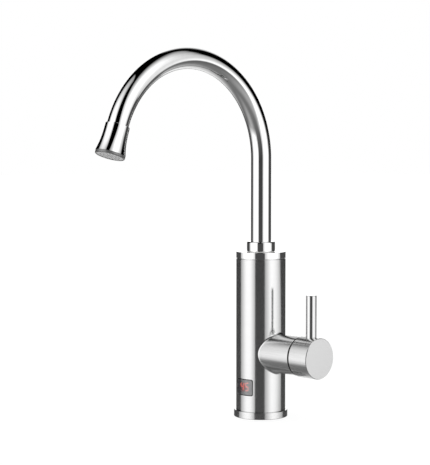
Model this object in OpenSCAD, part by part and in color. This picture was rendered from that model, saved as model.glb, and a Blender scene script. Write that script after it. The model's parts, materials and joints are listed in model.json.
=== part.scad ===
// Electric instant water heater tap: a steel body tube with a side lever valve,
// a display window, a heating chamber inside and a swivelling gooseneck spout.
// The origin is the centre of the base on the deck, +Z is up, the spout reaches
// towards -Y at rest and the lever valve stands out towards +X.

/* [Base] */
// Diameter of the base flange on the deck
flange_d = 55.5; // [54:0.5:62]
// Height of the base flange
flange_h = 7.1; // [6:0.1:9]
// Thickness of the flange's web under the body tube
flange_web = 2.5; // [2.2:0.1:3]
// Rounding of the flange's top edge
flange_round = 0.3; // [0.2:0.1:0.9]
// Rounding of the flange's bottom edge
flange_foot_round = 0.5; // [0.2:0.1:0.9]
// Thickness of the rubber ring under the flange
gasket_t = 1.4; // [1:0.1:1.6]
// Thickness of the base plate above the web
plate_t = 5.5; // [4.5:0.5:7]
// Minor diameter of the inlet thread, 18.63 for G1/2
inlet_thread_d = 18.63; // [14.95:0.01:18.63]
// Length of the inlet thread
inlet_depth = 13; // [11:0.5:15]
// Wall of the inlet boss round its thread
inlet_wall = 2.2; // [1.8:0.1:2.4]
// Diameter of the supply cord that the gland takes
cord_d = 8; // [6:0.5:8.5]
// Wall of the rubber cord gland
gland_wall = 1; // [0.8:0.1:1.2]
// Diameter of the circle of the base screws
screw_ring_d = 38; // [37:0.5:39]
// Shank diameter of the base screws
screw_d = 3; // [2.5:0.5:3]

/* [Body tube] */
// Outer diameter of the body tube
body_d = 51; // [50.5:0.1:53]
// Wall of the body tube
body_wall = 1.5; // [1.2:0.1:1.6]
// Height of the body tube's top edge above the deck
body_h = 164.1; // [160:0.5:180]
// Height of the groove between the tube and its cap
groove_h = 0.7; // [0.5:0.1:1.5]
// Height of the cap's rim
cap_h = 6.5; // [4.5:0.1:8]
// Rounding of the cap's top edge
cap_round = 0.2; // [0.2:0.1:1]

/* [Display window] */
// Width of the window opening, across the chord
window_w = 22; // [18:0.5:24]
// Height of the window opening
window_h = 16.8; // [14:0.2:19]
// Height of the window's centre above the deck
window_z = 32.4; // [29:0.2:35]
// Corner radius of the window opening
window_corner = 1.8; // [1:0.1:3]
// Width of the dark seal round the lens
window_seal = 0.7; // [0.5:0.1:1]

/* [Lever valve] */
// Height of the valve's axis above the deck
valve_z = 67.5; // [65:0.5:74]
// Height of the valve's brass block
valve_h = 36; // [34:0.5:38]
// Diameter of the side branch
branch_d = 39.6; // [39:0.1:41]
// Reach of the side branch from the body's axis
branch_reach = 56.4; // [54:0.1:60]
// Diameter of the knob
knob_d = 41.3; // [40:0.1:43]
// Length of the knob
knob_len = 23.8; // [23:0.1:28]
// Wall of the knob's shell
knob_wall = 3.4; // [3:0.1:3.8]
// Diameter of the lever pin
lever_d = 10.6; // [8:0.1:11]
// Height of the lever's tip above the valve's axis
lever_h = 63; // [45:0.5:80]
// Distance of the lever's axis from the knob's inner end
lever_offset = 12.1; // [11.5:0.1:13]
// Thickness of the black ring between branch and knob
seal_t = 1.9; // [1.4:0.1:2.2]
// Diameter of the ceramic cartridge's body
cartridge_d = 19.8; // [19:0.1:20.4]
// Diameter of the cartridge's spindle
spindle_d = 8; // [7:0.1:8.4]
// Diameter of the ceramic discs
disc_d = 16.2; // [15.6:0.1:16.6]
// Thickness of each ceramic disc
disc_t = 3.5; // [3:0.1:3.8]

/* [Flow switch] */
// Outer diameter of the flow switch's housing
flow_d = 22; // [21:0.5:23]
// Bore of the flow switch's housing
flow_bore_d = 16; // [15:0.5:17]
// Length of the magnet float
float_len = 10; // [8:0.5:11]
// Travel of the magnet float
float_travel = 4; // [3:0.5:4.5]

/* [Heater] */
// Outer diameter of the heating chamber
chamber_d = 43; // [42:0.5:44]
// Wall of the heating chamber
chamber_wall = 2.5; // [2:0.1:3]
// Floor of the heating chamber
chamber_floor = 4; // [3:0.5:5]
// Room for the terminals between the valve and the chamber
terminal_room = 12; // [11:0.5:14]
// Diameter of the sheathed heating tube
element_d = 5; // [4:0.5:5.5]
// Mean diameter of the heating coil
coil_d = 26; // [24:0.5:28]
// Turns of the heating coil
coil_turns = 4; // [3:1:4]

/* [Spout] */
// Outer diameter of the collar nut
collar_d = 29; // [28.5:0.1:32]
// Height of the collar nut
collar_h = 10; // [10:0.1:14]
// Rounding of the collar nut's top edge
collar_round = 1.5; // [0.5:0.1:2]
// Rounding of the collar nut's bottom edge
collar_foot_round = 0.4; // [0.3:0.1:1]
// Outer diameter of the spout tube
tube_d = 20.8; // [20:0.1:21.4]
// Wall of the spout tube
tube_wall = 1.2; // [1:0.1:1.5]
// Height above the deck at which the gooseneck starts to bend
riser_h = 267; // [240:1:300]
// Bend radius of the gooseneck
arch_r = 99; // [80:1:110]
// Angle that the gooseneck sweeps
arch_angle = 161.1; // [150:0.1:170]

/* [Nozzle] */
// Length of the nozzle's flared shell
nozzle_len = 28; // [26:0.5:34]
// Diameter at the nozzle's upper step
nozzle_top_d = 23.4; // [23.2:0.1:25]
// Diameter of the nozzle's rim
nozzle_rim_d = 29.8; // [29:0.1:33]
// Diameter of the outlet ring's lip
outlet_d = 28.8; // [28:0.1:29]
// How far the outlet ring stands out of the shell
outlet_h = 2.6; // [2:0.1:3]

/* [Fits] */
// Clearance between pieces that are fixed together
fit = 0.1; // [0.05:0.01:0.15]
// Radial clearance of pieces that turn in each other
run_fit = 0.05; // [0.02:0.01:0.08]
// Gap between outer pieces that move past each other
side_gap = 0.3; // [0.2:0.05:0.5]

/* [Hidden] */
$fn = 96;

// Gap left between sliding flat faces
face_gap = 0.05;
// Overrun of a cut past the face that it opens
cut = 1;
// How far a fitted O-ring stands out of its groove
o_ring_proud = 0.05;

// Radii of the body and of what fits inside it
body_r = body_d / 2;
inner_r = body_r - body_wall;
core_r = inner_r - side_gap;

// Base
flange_r = flange_d / 2;
web_bore_r = inner_r - 1.5;
web_w = flange_r - web_bore_r;
gasket_in_r = web_bore_r + web_w / 4;
gasket_out_r = flange_r - web_w / 4;
plate_top = flange_web + plate_t;
inlet_r = inlet_thread_d / 2;
inlet_boss_r = inlet_r + inlet_wall;
inlet_shoulder = 3.5;
boss_top = inlet_depth + inlet_shoulder;
inlet_throat_r = inlet_r - 2.3;
gland_r = cord_d / 2 + gland_wall;
gland_lip_r = gland_r + 1;
gland_lip_h = 1.5;
gland_y = core_r - gland_lip_r - side_gap;
screw_r = screw_d / 2;
screw_head_r = screw_r + 1.25;
screw_head_h = 1.8;
screw_sink = 2.4;
screw_grip = 8;
screw_spare = 0.5;
screw_ring_r = screw_ring_d / 2;
screw_angles = [-27, 27, 153, 207];

// Chassis rails
rail_in_r = core_r - 2.5;
rail_foot_r = screw_ring_r - 3.5;
rail_foot_h = 10;
rail_half_w = 12.4;
rail_in_x = 10;

// Valve block, along its axis from the body's axis outwards
valve_bottom = valve_z - valve_h / 2;
valve_top = valve_z + valve_h / 2;
valve_r = core_r - 2.7;
valve_flat = valve_r - 2.5;
boss_r = cartridge_d / 2 + 4.3;
boss_end = branch_reach - 8.5;
seat_x = 12;
seat_seal_t = 2.5;
cartridge_x = seat_x + seat_seal_t;
gallery_r = cartridge_d / 2 + 2.6;
gallery_len = 10;
port_r = 6;
port_depth = 6.5;
port_throat_r = 4;
pipe_x = cartridge_x + 1.4;
pipe_r = 4;
pipe_bore_r = 2.8;
pipe_seat = 5;

// Branch and clamp nut
branch_r = branch_d / 2;
branch_bore_r = boss_r + 0.2;
branch_mouth_r = branch_r - 2.2;
clamp_len = 6;
clamp_x = boss_end - clamp_len - 1;
clamp_slot = 3;

// Cartridge
cartridge_r = cartridge_d / 2;
disc_r = disc_d / 2;
disc_port_r = 2.2;
disc_port_y = 4.4;
cartridge_bore_r = disc_r + fit;
drive_r = disc_r - 0.5;
drive_len = 4.7;
fixed_disc_end = cartridge_x + disc_t;
moving_disc_x = fixed_disc_end + face_gap;
drive_x = moving_disc_x + disc_t;
drive_end = drive_x + drive_len;
cartridge_room_end = drive_end + side_gap;
cartridge_hex_r = cartridge_r + 2.6;
cartridge_hex_len = 3.5;
cartridge_neck_r = spindle_d / 2 + 3;
cartridge_neck_end = branch_reach + 2.5;
window_cut = 8;
spindle_r = spindle_d / 2;

// Knob and lever
knob_r = knob_d / 2;
knob_x = branch_reach + seal_t + side_gap;
knob_end = knob_x + knob_len;
knob_bore_r = knob_r - knob_wall;
knob_floor_x = knob_end - 3.5;
knob_floor_r = knob_r - 1;
hub_r = spindle_r + 4;
hub_x = cartridge_neck_end + 1;
lever_r = lever_d / 2;
lever_x = knob_x + lever_offset;
lever_seat = spindle_r + 5;
lever_boss_r = lever_r + 2.2;
lever_chamfer = 0.4;
spindle_end = lever_x + 5.3;
spindle_flat = 0.8;
spindle_ring_x = cartridge_neck_end - 6;
spindle_ring_w = 1.6;
spindle_ring_depth = 1;
grub_r = 2;
grub_len = 6;
grub_hex_r = 1.1;
grub_boss_r = grub_r + 2.5;

// Flow switch, standing on the inlet boss and carrying the valve
flow_r = flow_d / 2;
flow_bore_r = flow_bore_d / 2;
flow_floor = 5;
flow_spigot = 2.7;
flow_cap_h = 8;
flow_split = valve_bottom - flow_cap_h;
flow_port_r = 4;
flow_ring_w = 2.2;
flow_ring_r = 0.65;
flow_ring_z = valve_bottom + 2;
float_r = flow_bore_r - 0.4;
float_bore_r = 3;
float_z = boss_top + flow_floor + face_gap;
float_top = float_z + float_len;
spring_wire_r = 0.4;
spring_r = float_bore_r + 1.8;
spring_turns = 5;
reed_r = 1.6;
reed_len = 14;
reed_z = float_z + 2;

// Display, behind the window
carrier_rim = 2;
carrier_back = inner_r - 8;
board_t = 1.2;
digits_t = 3.6;
digits_front = inner_r - 1.9;
digits_w = window_w - 5;
digits_h = window_h - 5;

// Power electronics
power_y = rail_half_w;
power_t = 1.6;
power_w = 26;
power_z0 = plate_top + 4;
power_z1 = valve_bottom - 3.5;
relay_w = 13;
relay_h = 18;
relay_t = core_r - power_y - power_t - 1.2;
relay_z = power_z0 + 6;
triac_w = 10;
triac_h = 16;
triac_t = 4;

// Heating chamber, hanging under the lid
cap_z = body_h + groove_h;
cap_top = cap_z + cap_h;
cap_skirt = 7;
cap_skirt_t = 2.5;
socket_flange_h = 4;
lid_neck_h = 5;
lid_h = 4;
lid_plug_h = 5;
chamber_r = chamber_d / 2;
chamber_in_r = chamber_r - chamber_wall;
chamber_z = valve_top + terminal_room;
lid_neck_top = cap_z - socket_flange_h;
lid_top = lid_neck_top - lid_neck_h;
chamber_top = lid_top - lid_h;
lid_plug_r = chamber_in_r - fit;
lid_ring_w = 2;
lid_ring_r = 0.75;
lid_ring_z = chamber_top - 3.5;
spacer_in_r = core_r - 5;
spacer_gap_w = 10;

// Heating element: legs through the floor, then a coil
element_r = element_d / 2;
coil_r = coil_d / 2;
leg_angle = 110;
leg_blend = 60;
core_leg_r = 4;
core_leg_end = leg_angle + 280;
leg_z = chamber_z - 3;
coil_z = chamber_z + chamber_floor + 9;
coil_top = chamber_top - lid_plug_h - element_r - 3;
pin_r = 1.3;
pin_len = 5;
cutout_r = 5;
cutout_h = 5;
cutout_x = -11;
cutout_y = -7.5;
ntc_r = 2;
ntc_x = -3;
ntc_y = -5.5;
ntc_len = 22;
ntc_z = chamber_z - 5;
lead_r = 1.2;
lead_elbow_r = lead_r + 0.15;
lead_x = triac_w / 2 + lead_r + 0.8;
lead_y = valve_flat + 2 * lead_r;
lead_z0 = power_z1 - 8;

// Swivel head
collar_r = collar_d / 2;
collar_gasket_t = 0.4;
collar_z = cap_top + collar_gasket_t;
collar_top = collar_z + collar_h;
collar_lip = 2.2;
tube_r = tube_d / 2;
tube_bore_r = tube_r - tube_wall;
socket_r = tube_r + 1.6;
socket_tail_r = 9;
socket_tail_z = lid_top - 2;
lid_neck_r = socket_tail_r + 3;
socket_water_r = 6;
socket_flange_r = socket_r + 6;
stem_r = 8;
washer_t = 1;
shoulder_h = 2;
lip_z = collar_top - collar_lip;
shoulder_top = lip_z - washer_t - 2 * face_gap;
shoulder_z = shoulder_top - shoulder_h;
socket_top = shoulder_z - face_gap - washer_t;
stem_end = cap_z - 5;
ferrule_bore_r = 5;
ferrule_plug = 11;
stem_ring_w = 2.2;
stem_ring_r = 0.7;
stem_ring_drop = 5;
stem_ring_pitch = 6.5;
stem_ring_z = [for (i = [0, 1]) socket_top - stem_ring_drop - i * stem_ring_pitch];

// Nozzle, measured along its own axis from the seam with the tube
nozzle_step = 0.6;
nozzle_belly = 0.2;
nozzle_power = 2.6;
tube_stub = 9;
stub_turned = 0.1;
stub_root = 0.3;
nozzle_wall = 1.2;
nozzle_gasket_t = 1.8;
nozzle_gasket_in_r = tube_bore_r - 0.6;
straightener_len = 6;
straightener_hole_r = 1.5;
straightener_ring_r = 4.2;
outlet_thread_r = nozzle_top_d / 2 - nozzle_wall;
outlet_r = outlet_d / 2;
outlet_round = 0.8;
outlet_bore_r = outlet_thread_r - 1.6;
screen_r = outlet_r - 1.6;
screen_t = 1.2;
screen_inset = 0.3;
screen_hole_r = 0.8;
screen_pitch = 3.1;
screen_rings = 3;

// Ring about Z between two heights
module ring_z(outer, inner, z0, z1) {
    translate([0, 0, z0])
        difference() {
            cylinder(r = outer, h = z1 - z0);
            translate([0, 0, -cut]) cylinder(r = inner, h = z1 - z0 + 2 * cut);
        }
}

// Upright round bar between two heights
module bar_z(r, z0, z1) {
    translate([0, 0, z0]) cylinder(r = r, h = z1 - z0);
}

// Round bar along the valve's axis between two distances from the body's axis
module bar_x(r, x0, x1) {
    translate([x0, 0, valve_z]) rotate([0, 90, 0]) cylinder(r = r, h = x1 - x0);
}

// Ring about the valve's axis
module ring_x(outer, inner, x0, x1) {
    difference() {
        bar_x(outer, x0, x1);
        bar_x(inner, x0 - cut, x1 + cut);
    }
}

// Round-section ring about Z: an O-ring of mean radius r and section radius s
module o_ring_z(r, s, z) {
    translate([0, 0, z]) rotate_extrude() translate([r, 0]) circle(r = s, $fn = 32);
}

// Ring about Z whose outer edges are rounded, top and bottom separately
module rounded_ring(outer, inner, z0, z1, top_round, low_round) {
    rotate_extrude() {
        translate([inner, z0 + low_round]) square([outer - inner, z1 - z0 - top_round - low_round]);
        if (top_round > 0) {
            translate([inner, z1 - 2 * top_round]) square([outer - top_round - inner, 2 * top_round]);
            translate([outer - top_round, z1 - top_round]) circle(r = top_round);
        }
        if (low_round > 0) {
            translate([inner, z0]) square([outer - low_round - inner, 2 * low_round]);
            translate([outer - low_round, z0 + low_round]) circle(r = low_round);
        }
    }
}

// Flat rectangle with round corners, centred
module round_rect(w, h, r) {
    square([w - 2 * r, h], center = true);
    square([w, h - 2 * r], center = true);
    for (sx = [-1, 1], sy = [-1, 1])
        translate([sx * (w / 2 - r), sy * (h / 2 - r)]) circle(r = r);
}

// Bar towards the front whose section is the window's outline, drawn in by inset
module window_bar(inset) {
    translate([0, 0, window_z])
        rotate([90, 0, 0])
            linear_extrude(height = body_r + cut)
                round_rect(window_w - 2 * inset, window_h - 2 * inset, max(window_corner - inset, 0.3));
}

// Places its children at each base screw
module at_base_screws() {
    for (a = screw_angles)
        rotate([0, 0, a]) translate([screw_ring_r, 0, 0]) children();
}

// Places its children at the nozzle's seam, with +Z along the outflow
module at_nozzle() {
    translate([0, -arch_r, riser_h])
        rotate([arch_angle, 0, 0])
            translate([0, arch_r, 0])
                children();
}

// Places its children at each leg of the heating element
module at_legs() {
    translate(polar(coil_r, leg_angle, 0)) children();
    translate(polar(core_leg_r, core_leg_end, 0)) children();
}

// How far the path has turned into its coil: it gathers speed as t goes from 0 to 1
function ease(t) = t * t / 2;

// Point on a spiral: radius, angle in degrees, height
function polar(r, a, z) = [r * cos(a), r * sin(a), z];

// Centre line of the heating element: outer leg, coil, then inwards to the core leg
function element_path() =
    let (
        steps = 20,
        sweep = coil_turns * 360,
        pitch = (coil_top - coil_z) / sweep,
        a0 = leg_angle + leg_blend / 2,
        inward = core_leg_end - a0,
        rise = coil_z - leg_z
    )
    [
        polar(coil_r, leg_angle, leg_z),
        for (i = [0 : 6])
            let (t = i / 6)
            polar(coil_r, leg_angle + leg_blend * ease(t), leg_z + rise * (0.4 + 0.6 * (2 * t - t * t))),
        for (i = [1 : coil_turns * steps])
            polar(coil_r, a0 + i * 360 / steps, coil_z + i * 360 / steps * pitch),
        for (i = [1 : 10])
            let (t = i / 10, fade = 1 - (1 - t) * (1 - t))
            polar(coil_r + (core_leg_r - coil_r) * t * t * (3 - 2 * t),
                  a0 + inward * fade,
                  coil_top + 1.2 * t * (1 - t) - 5 * t * t * t * t),
        polar(core_leg_r, core_leg_end, coil_top - 12),
        polar(core_leg_r, core_leg_end, leg_z)
    ];

// Vector of length 1 in the direction of v
function unit(v) = v / norm(v);

// Direction of a path at point i
function heading(p, i) = unit(p[min(i + 1, len(p) - 1)] - p[max(i - 1, 0)]);

// Side vector of each ring, carried along the path without twisting
function carried(p, i, s) =
    i >= len(p) ? [] : let (t = heading(p, i), n = unit(s - (s * t) * t)) concat([n], carried(p, i + 1, n));

// Tube of radius r along path p, with m sides and flat ends
module sweep_tube(p, r, m) {
    n = len(p);
    sides = carried(p, 0, [0.31, 0.95, 0.05]);
    points = [
        for (i = [0 : n - 1])
            let (u = sides[i], v = cross(heading(p, i), u))
            for (k = [0 : m - 1]) p[i] + r * (u * cos(360 * k / m) + v * sin(360 * k / m))
    ];
    walls = [
        for (i = [0 : n - 2], k = [0 : m - 1])
            let (a = i * m + k, b = i * m + (k + 1) % m)
            each [[a, a + m, b], [b, a + m, b + m]]
    ];
    start = [for (k = [1 : m - 2]) [0, k, k + 1]];
    finish = [for (k = [1 : m - 2]) [(n - 1) * m, (n - 1) * m + k + 1, (n - 1) * m + k]];
    polyhedron(points = points, faces = concat(walls, start, finish), convexity = 10);
}

// Centre line of the float's spring
function spring_path() =
    let (
        steps = 12,
        low = float_top + face_gap + spring_wire_r,
        high = flow_split - face_gap - spring_wire_r,
        count = spring_turns * steps
    )
    [for (i = [0 : count]) polar(spring_r, i * 360 / steps, low + (high - low) * i / count)];

// Rubber ring set flush in the flange's underside
module deck_gasket() {
    color("dimgray") ring_z(gasket_out_r - fit, gasket_in_r + fit, 0, gasket_t);
}

// Steel flange that the body tube stands in
module base_flange() {
    color("lightgray")
        difference() {
            rounded_ring(flange_r, web_bore_r, 0, flange_h, flange_round, flange_foot_round);
            bar_z(body_r + fit, flange_web, flange_h + cut);
            ring_z(gasket_out_r, gasket_in_r, -cut, gasket_t);
        }
}

// Brass plate with the threaded inlet, the gland's hole and the screw holes
module base_plate() {
    color("goldenrod")
        difference() {
            union() {
                bar_z(web_bore_r - fit, 0, flange_web);
                bar_z(core_r, flange_web, plate_top);
                difference() {
                    bar_z(inlet_boss_r, 0, boss_top);
                    translate([-core_r, gland_y - gland_lip_r - fit, plate_top])
                        cube([2 * core_r, core_r, boss_top]);
                }
            }
            bar_z(inlet_r, -cut, inlet_depth);
            bar_z(inlet_throat_r, 0, boss_top + cut);
            translate([0, gland_y, 0]) bar_z(gland_r + fit, -cut, plate_top + cut);
            at_base_screws() {
                bar_z(screw_head_r + fit, -cut, screw_sink);
                bar_z(screw_r + fit, 0, plate_top + cut);
            }
        }
}

// Rubber gland for the supply cord
module cable_gland() {
    color("black")
        translate([0, gland_y, 0])
            difference() {
                union() {
                    bar_z(gland_r, 0, plate_top);
                    bar_z(gland_lip_r, plate_top, plate_top + gland_lip_h);
                }
                bar_z(cord_d / 2, -cut, plate_top + gland_lip_h + cut);
            }
}

// Four screws up through the base plate into the rails
module base_screws() {
    color("silver")
        at_base_screws()
            difference() {
                union() {
                    bar_z(screw_head_r, screw_sink - screw_head_h, screw_sink);
                    bar_z(screw_r, screw_sink, plate_top + screw_grip);
                }
                translate([0, 0, screw_sink - screw_head_h - cut])
                    cylinder(r = screw_r * 0.8, h = cut + 1, $fn = 6);
            }
}

// Two plastic rails that carry the valve on the base plate
module chassis_rails() {
    color("darkslategray")
        difference() {
            intersection() {
                union() {
                    ring_z(core_r, rail_in_r, plate_top, valve_bottom);
                    ring_z(core_r, rail_foot_r, plate_top, plate_top + rail_foot_h);
                }
                for (side = [-1, 1])
                    translate([side * (rail_in_x + core_r / 2), 0, (plate_top + valve_bottom) / 2])
                        cube([core_r, 2 * rail_half_w, valve_bottom - plate_top], center = true);
            }
            at_base_screws() bar_z(screw_r + fit / 2, plate_top - cut, plate_top + screw_grip + screw_spare);
        }
}

// Steel body tube with the window's opening and the branch's hole
module body_shell() {
    color("gainsboro")
        difference() {
            ring_z(body_r, inner_r, flange_web, body_h);
            window_bar(0);
            bar_x(branch_bore_r, 0, body_r + cut);
        }
}

// Smoked lens, flush with the tube
module display_window() {
    color("dimgray")
        intersection() {
            ring_z(body_r, inner_r, window_z - window_h, window_z + window_h);
            window_bar(window_seal + fit / 2);
        }
}

// Dark seal between the lens and the tube
module window_seal_frame() {
    color("black")
        intersection() {
            ring_z(body_r, inner_r, window_z - window_h, window_z + window_h);
            difference() {
                window_bar(fit / 2);
                window_bar(window_seal);
            }
        }
}

// Plastic frame behind the window that holds the digits and their board
module display_carrier() {
    room_w = window_w + 2 * fit;
    room_h = window_h + 2 * fit;
    color("darkslategray")
        intersection() {
            bar_z(inner_r - fit, window_z - window_h, window_z + window_h);
            difference() {
                translate([-room_w / 2 - carrier_rim, -body_r, window_z - room_h / 2 - carrier_rim])
                    cube([room_w + 2 * carrier_rim, body_r - carrier_back, room_h + 2 * carrier_rim]);
                translate([-room_w / 2, -body_r - cut, window_z - room_h / 2])
                    cube([room_w, body_r, room_h]);
            }
        }
}

// Circuit board of the display
module display_board() {
    color("darkgreen")
        translate([-window_w / 2, -digits_front + digits_t, window_z - window_h / 2])
            cube([window_w, board_t, window_h]);
}

// Light-emitting digit block on its board
module display_digits() {
    color("firebrick")
        translate([-digits_w / 2, -digits_front, window_z - digits_h / 2])
            cube([digits_w, digits_t, digits_h]);
}

// Circuit board that switches the heater
module power_board() {
    color("darkgreen")
        translate([-power_w / 2, power_y, power_z0])
            cube([power_w, power_t, power_z1 - power_z0]);
}

// Relay on the back of the power board
module relay() {
    color("royalblue")
        translate([-relay_w / 2, power_y + power_t, relay_z])
            cube([relay_w, relay_t, relay_h]);
}

// Power switch on the valve block's rear flat, cooled by the water
module triac() {
    color("black")
        translate([-triac_w / 2, valve_flat, valve_z - triac_h / 2])
            cube([triac_w, triac_t, triac_h]);
}

// Housing of the flow switch, standing on the inlet boss
module flow_housing() {
    color("whitesmoke")
        difference() {
            union() {
                bar_z(flow_r, boss_top, flow_split);
                bar_z(inlet_throat_r - fit, boss_top - flow_spigot, boss_top);
            }
            bar_z(flow_bore_r, boss_top + flow_floor, flow_split + cut);
            bar_z(float_bore_r, boss_top - flow_spigot - cut, flow_split);
        }
}

// Cap of the flow switch, with the sleeve that stops the float and the spigot into the valve
module flow_cap() {
    color("whitesmoke")
        difference() {
            union() {
                bar_z(flow_r, flow_split, valve_bottom);
                ring_z(flow_bore_r - fit, spring_r + spring_wire_r + fit,
                       float_top + float_travel, flow_split + cut);
                bar_z(port_r - fit, valve_bottom, valve_bottom + port_depth - 0.5);
            }
            bar_z(flow_port_r, flow_split - cut, valve_bottom + port_depth);
            ring_z(port_r + cut, port_r - fit - 2 * flow_ring_r, flow_ring_z, flow_ring_z + flow_ring_w);
        }
}

// O-ring between the flow switch and the valve
module valve_o_ring() {
    color("black")
        o_ring_z(port_r - fit - flow_ring_r + o_ring_proud, flow_ring_r, flow_ring_z + flow_ring_w / 2);
}

// Magnet float that the water lifts
module flow_float() {
    color("gray") ring_z(float_r, float_bore_r, float_z, float_top);
}

// Spring that brings the float back down
module float_spring() {
    color("silver") sweep_tube(spring_path(), spring_wire_r, 6);
}

// Reed switch beside the flow housing
module reed_switch() {
    color("honeydew")
        translate([-flow_r - reed_r - side_gap, 0, reed_z])
            cylinder(r = reed_r, h = reed_len);
}

// Brass valve block: inlet from below, cartridge from the side, outlet to the heater
module valve_body() {
    color("goldenrod")
        difference() {
            union() {
                intersection() {
                    bar_z(valve_r, valve_bottom, valve_top);
                    translate([-valve_r, -valve_flat, valve_bottom])
                        cube([2 * valve_r, 2 * valve_flat, valve_h]);
                }
                bar_x(boss_r, 0, boss_end);
            }
            bar_z(port_r, valve_bottom - cut, valve_bottom + port_depth);
            bar_z(port_throat_r, valve_bottom, valve_z);
            bar_x(port_throat_r, -port_throat_r, seat_x + cut);
            bar_x(cartridge_r + fit, seat_x, boss_end + cut);
            bar_x(gallery_r, cartridge_x, cartridge_x + gallery_len);
            translate([pipe_x, 0, 0]) {
                bar_z(pipe_bore_r, valve_z + cartridge_r, valve_top + cut);
                bar_z(pipe_r + fit, valve_top - pipe_seat, valve_top + cut);
            }
        }
}

// Steel branch on the body tube, bored for the valve's boss and its clamp nut
module branch_sleeve() {
    color("gainsboro")
        difference() {
            bar_x(branch_r, 0, branch_reach);
            bar_x(branch_bore_r, -cut, branch_reach + cut);
            bar_x(branch_mouth_r, clamp_x, branch_reach + cut);
            bar_z(body_r + fit / 2, 0, body_h);
        }
}

// Slotted nut that pulls the valve against the branch's shoulder
module clamp_nut() {
    color("goldenrod")
        difference() {
            ring_x(branch_mouth_r - fit, boss_r + fit, clamp_x, clamp_x + clamp_len);
            translate([clamp_x + clamp_len, 0, valve_z])
                cube([2 * clamp_slot, 2 * branch_r, clamp_slot], center = true);
        }
}

// Cartridge body with its hexagon, side windows and spindle bore
module cartridge_body() {
    color("darkkhaki")
        difference() {
            union() {
                bar_x(cartridge_r, cartridge_x, boss_end);
                translate([boss_end, 0, valve_z])
                    rotate([0, 90, 0])
                        cylinder(r = cartridge_hex_r, h = cartridge_hex_len, $fn = 6);
                bar_x(cartridge_neck_r, boss_end, cartridge_neck_end);
            }
            bar_x(cartridge_bore_r, cartridge_x - cut, cartridge_room_end);
            bar_x(spindle_r + run_fit, cartridge_x, cartridge_neck_end + cut);
            translate([moving_disc_x + window_cut / 4 + 2 * fit, 0, valve_z])
                cube([window_cut / 2, window_cut, 3 * cartridge_r], center = true);
        }
}

// Rubber seal between the valve's seat and the fixed disc
module seat_seal() {
    color("black") ring_x(disc_r - fit, disc_port_y + disc_port_r + fit, seat_x, cartridge_x);
}

// Fixed ceramic disc with two ports
module fixed_ceramic_disc() {
    color("ivory")
        difference() {
            bar_x(disc_r, cartridge_x, fixed_disc_end);
            for (side = [-1, 1])
                translate([0, side * disc_port_y, 0])
                    bar_x(disc_port_r, cartridge_x - cut, fixed_disc_end + cut);
        }
}

// Turning ceramic disc, notched at top and bottom so that a quarter turn opens the ports
module moving_ceramic_disc() {
    color("ivory")
        difference() {
            bar_x(disc_r - side_gap, moving_disc_x, drive_x);
            for (side = [-1, 1])
                translate([moving_disc_x + disc_t / 2, 0, valve_z + side * disc_r])
                    cube([disc_t + cut, 2 * disc_port_r, disc_r], center = true);
        }
}

// Spindle that turns the disc, flattened under the grub screw
module cartridge_spindle() {
    color("goldenrod")
        difference() {
            union() {
                bar_x(drive_r, drive_x, drive_end);
                bar_x(spindle_r, drive_end, spindle_end);
            }
            ring_x(spindle_r + cut, spindle_r - spindle_ring_depth,
                   spindle_ring_x, spindle_ring_x + spindle_ring_w);
            translate([hub_x, -spindle_r, valve_z - 2 * spindle_r + spindle_flat])
                cube([spindle_end, 2 * spindle_r, spindle_r]);
        }
}

// O-ring in the spindle's groove
module spindle_o_ring() {
    section = spindle_ring_depth / 2;
    color("black")
        translate([spindle_ring_x + spindle_ring_w / 2, 0, valve_z])
            rotate([0, 90, 0])
                o_ring_z(spindle_r - section + run_fit / 2, section, 0);
}

// Black ring between the branch and the knob
module knob_seal() {
    color("black") ring_x(branch_r + 0.1, branch_mouth_r, branch_reach, branch_reach + seal_t);
}

// Steel knob: a cup with a hub for the spindle and bosses for the lever and the grub screw
module handle_knob() {
    color("gainsboro")
        difference() {
            union() {
                ring_x(knob_r, knob_bore_r, knob_x, knob_end);
                bar_x(knob_floor_r, knob_floor_x, knob_end);
                bar_x(hub_r, hub_x, knob_end);
                intersection() {
                    bar_x(knob_floor_r, hub_x, knob_end);
                    union() {
                        translate([lever_x, 0, 0]) bar_z(lever_boss_r, valve_z, valve_z + knob_r);
                        translate([lever_x, 0, 0]) bar_z(grub_boss_r, valve_z - knob_r, valve_z);
                    }
                }
            }
            bar_x(spindle_r + fit / 2, hub_x - cut, spindle_end + 0.2);
            translate([lever_x, 0, 0]) bar_z(lever_r + fit / 2, valve_z + lever_seat, valve_z + knob_r + cut);
            translate([lever_x, 0, 0]) bar_z(grub_r + fit / 2, valve_z - knob_r - cut, valve_z);
        }
}

// Lever pin, screwed into the knob
module lever_pin() {
    tip = valve_z + lever_h;
    color("gainsboro")
        translate([lever_x, 0, 0])
            rotate_extrude()
                polygon([[0, valve_z + lever_seat], [lever_r, valve_z + lever_seat],
                         [lever_r, tip - lever_chamfer], [lever_r - lever_chamfer, tip], [0, tip]]);
}

// Grub screw under the knob, bearing on the spindle's flat
module knob_grub_screw() {
    top = valve_z - spindle_r + spindle_flat;
    color("dimgray")
        translate([lever_x, 0, 0])
            difference() {
                bar_z(grub_r, top - grub_len, top);
                translate([0, 0, top - grub_len - cut]) cylinder(r = grub_hex_r, h = cut + 2, $fn = 6);
            }
}

// Ring that carries the heating chamber on the valve block, open at the back for the leads
module spacer_ring() {
    color("darkslategray")
        difference() {
            ring_z(core_r, spacer_in_r, valve_top, chamber_z);
            translate([-spacer_gap_w, 0, valve_top - cut])
                cube([2 * spacer_gap_w, body_r, terminal_room + 2 * cut]);
            translate([pipe_x, 0, 0]) bar_z(pipe_r + fit, valve_top - cut, chamber_z + cut);
        }
}

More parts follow.
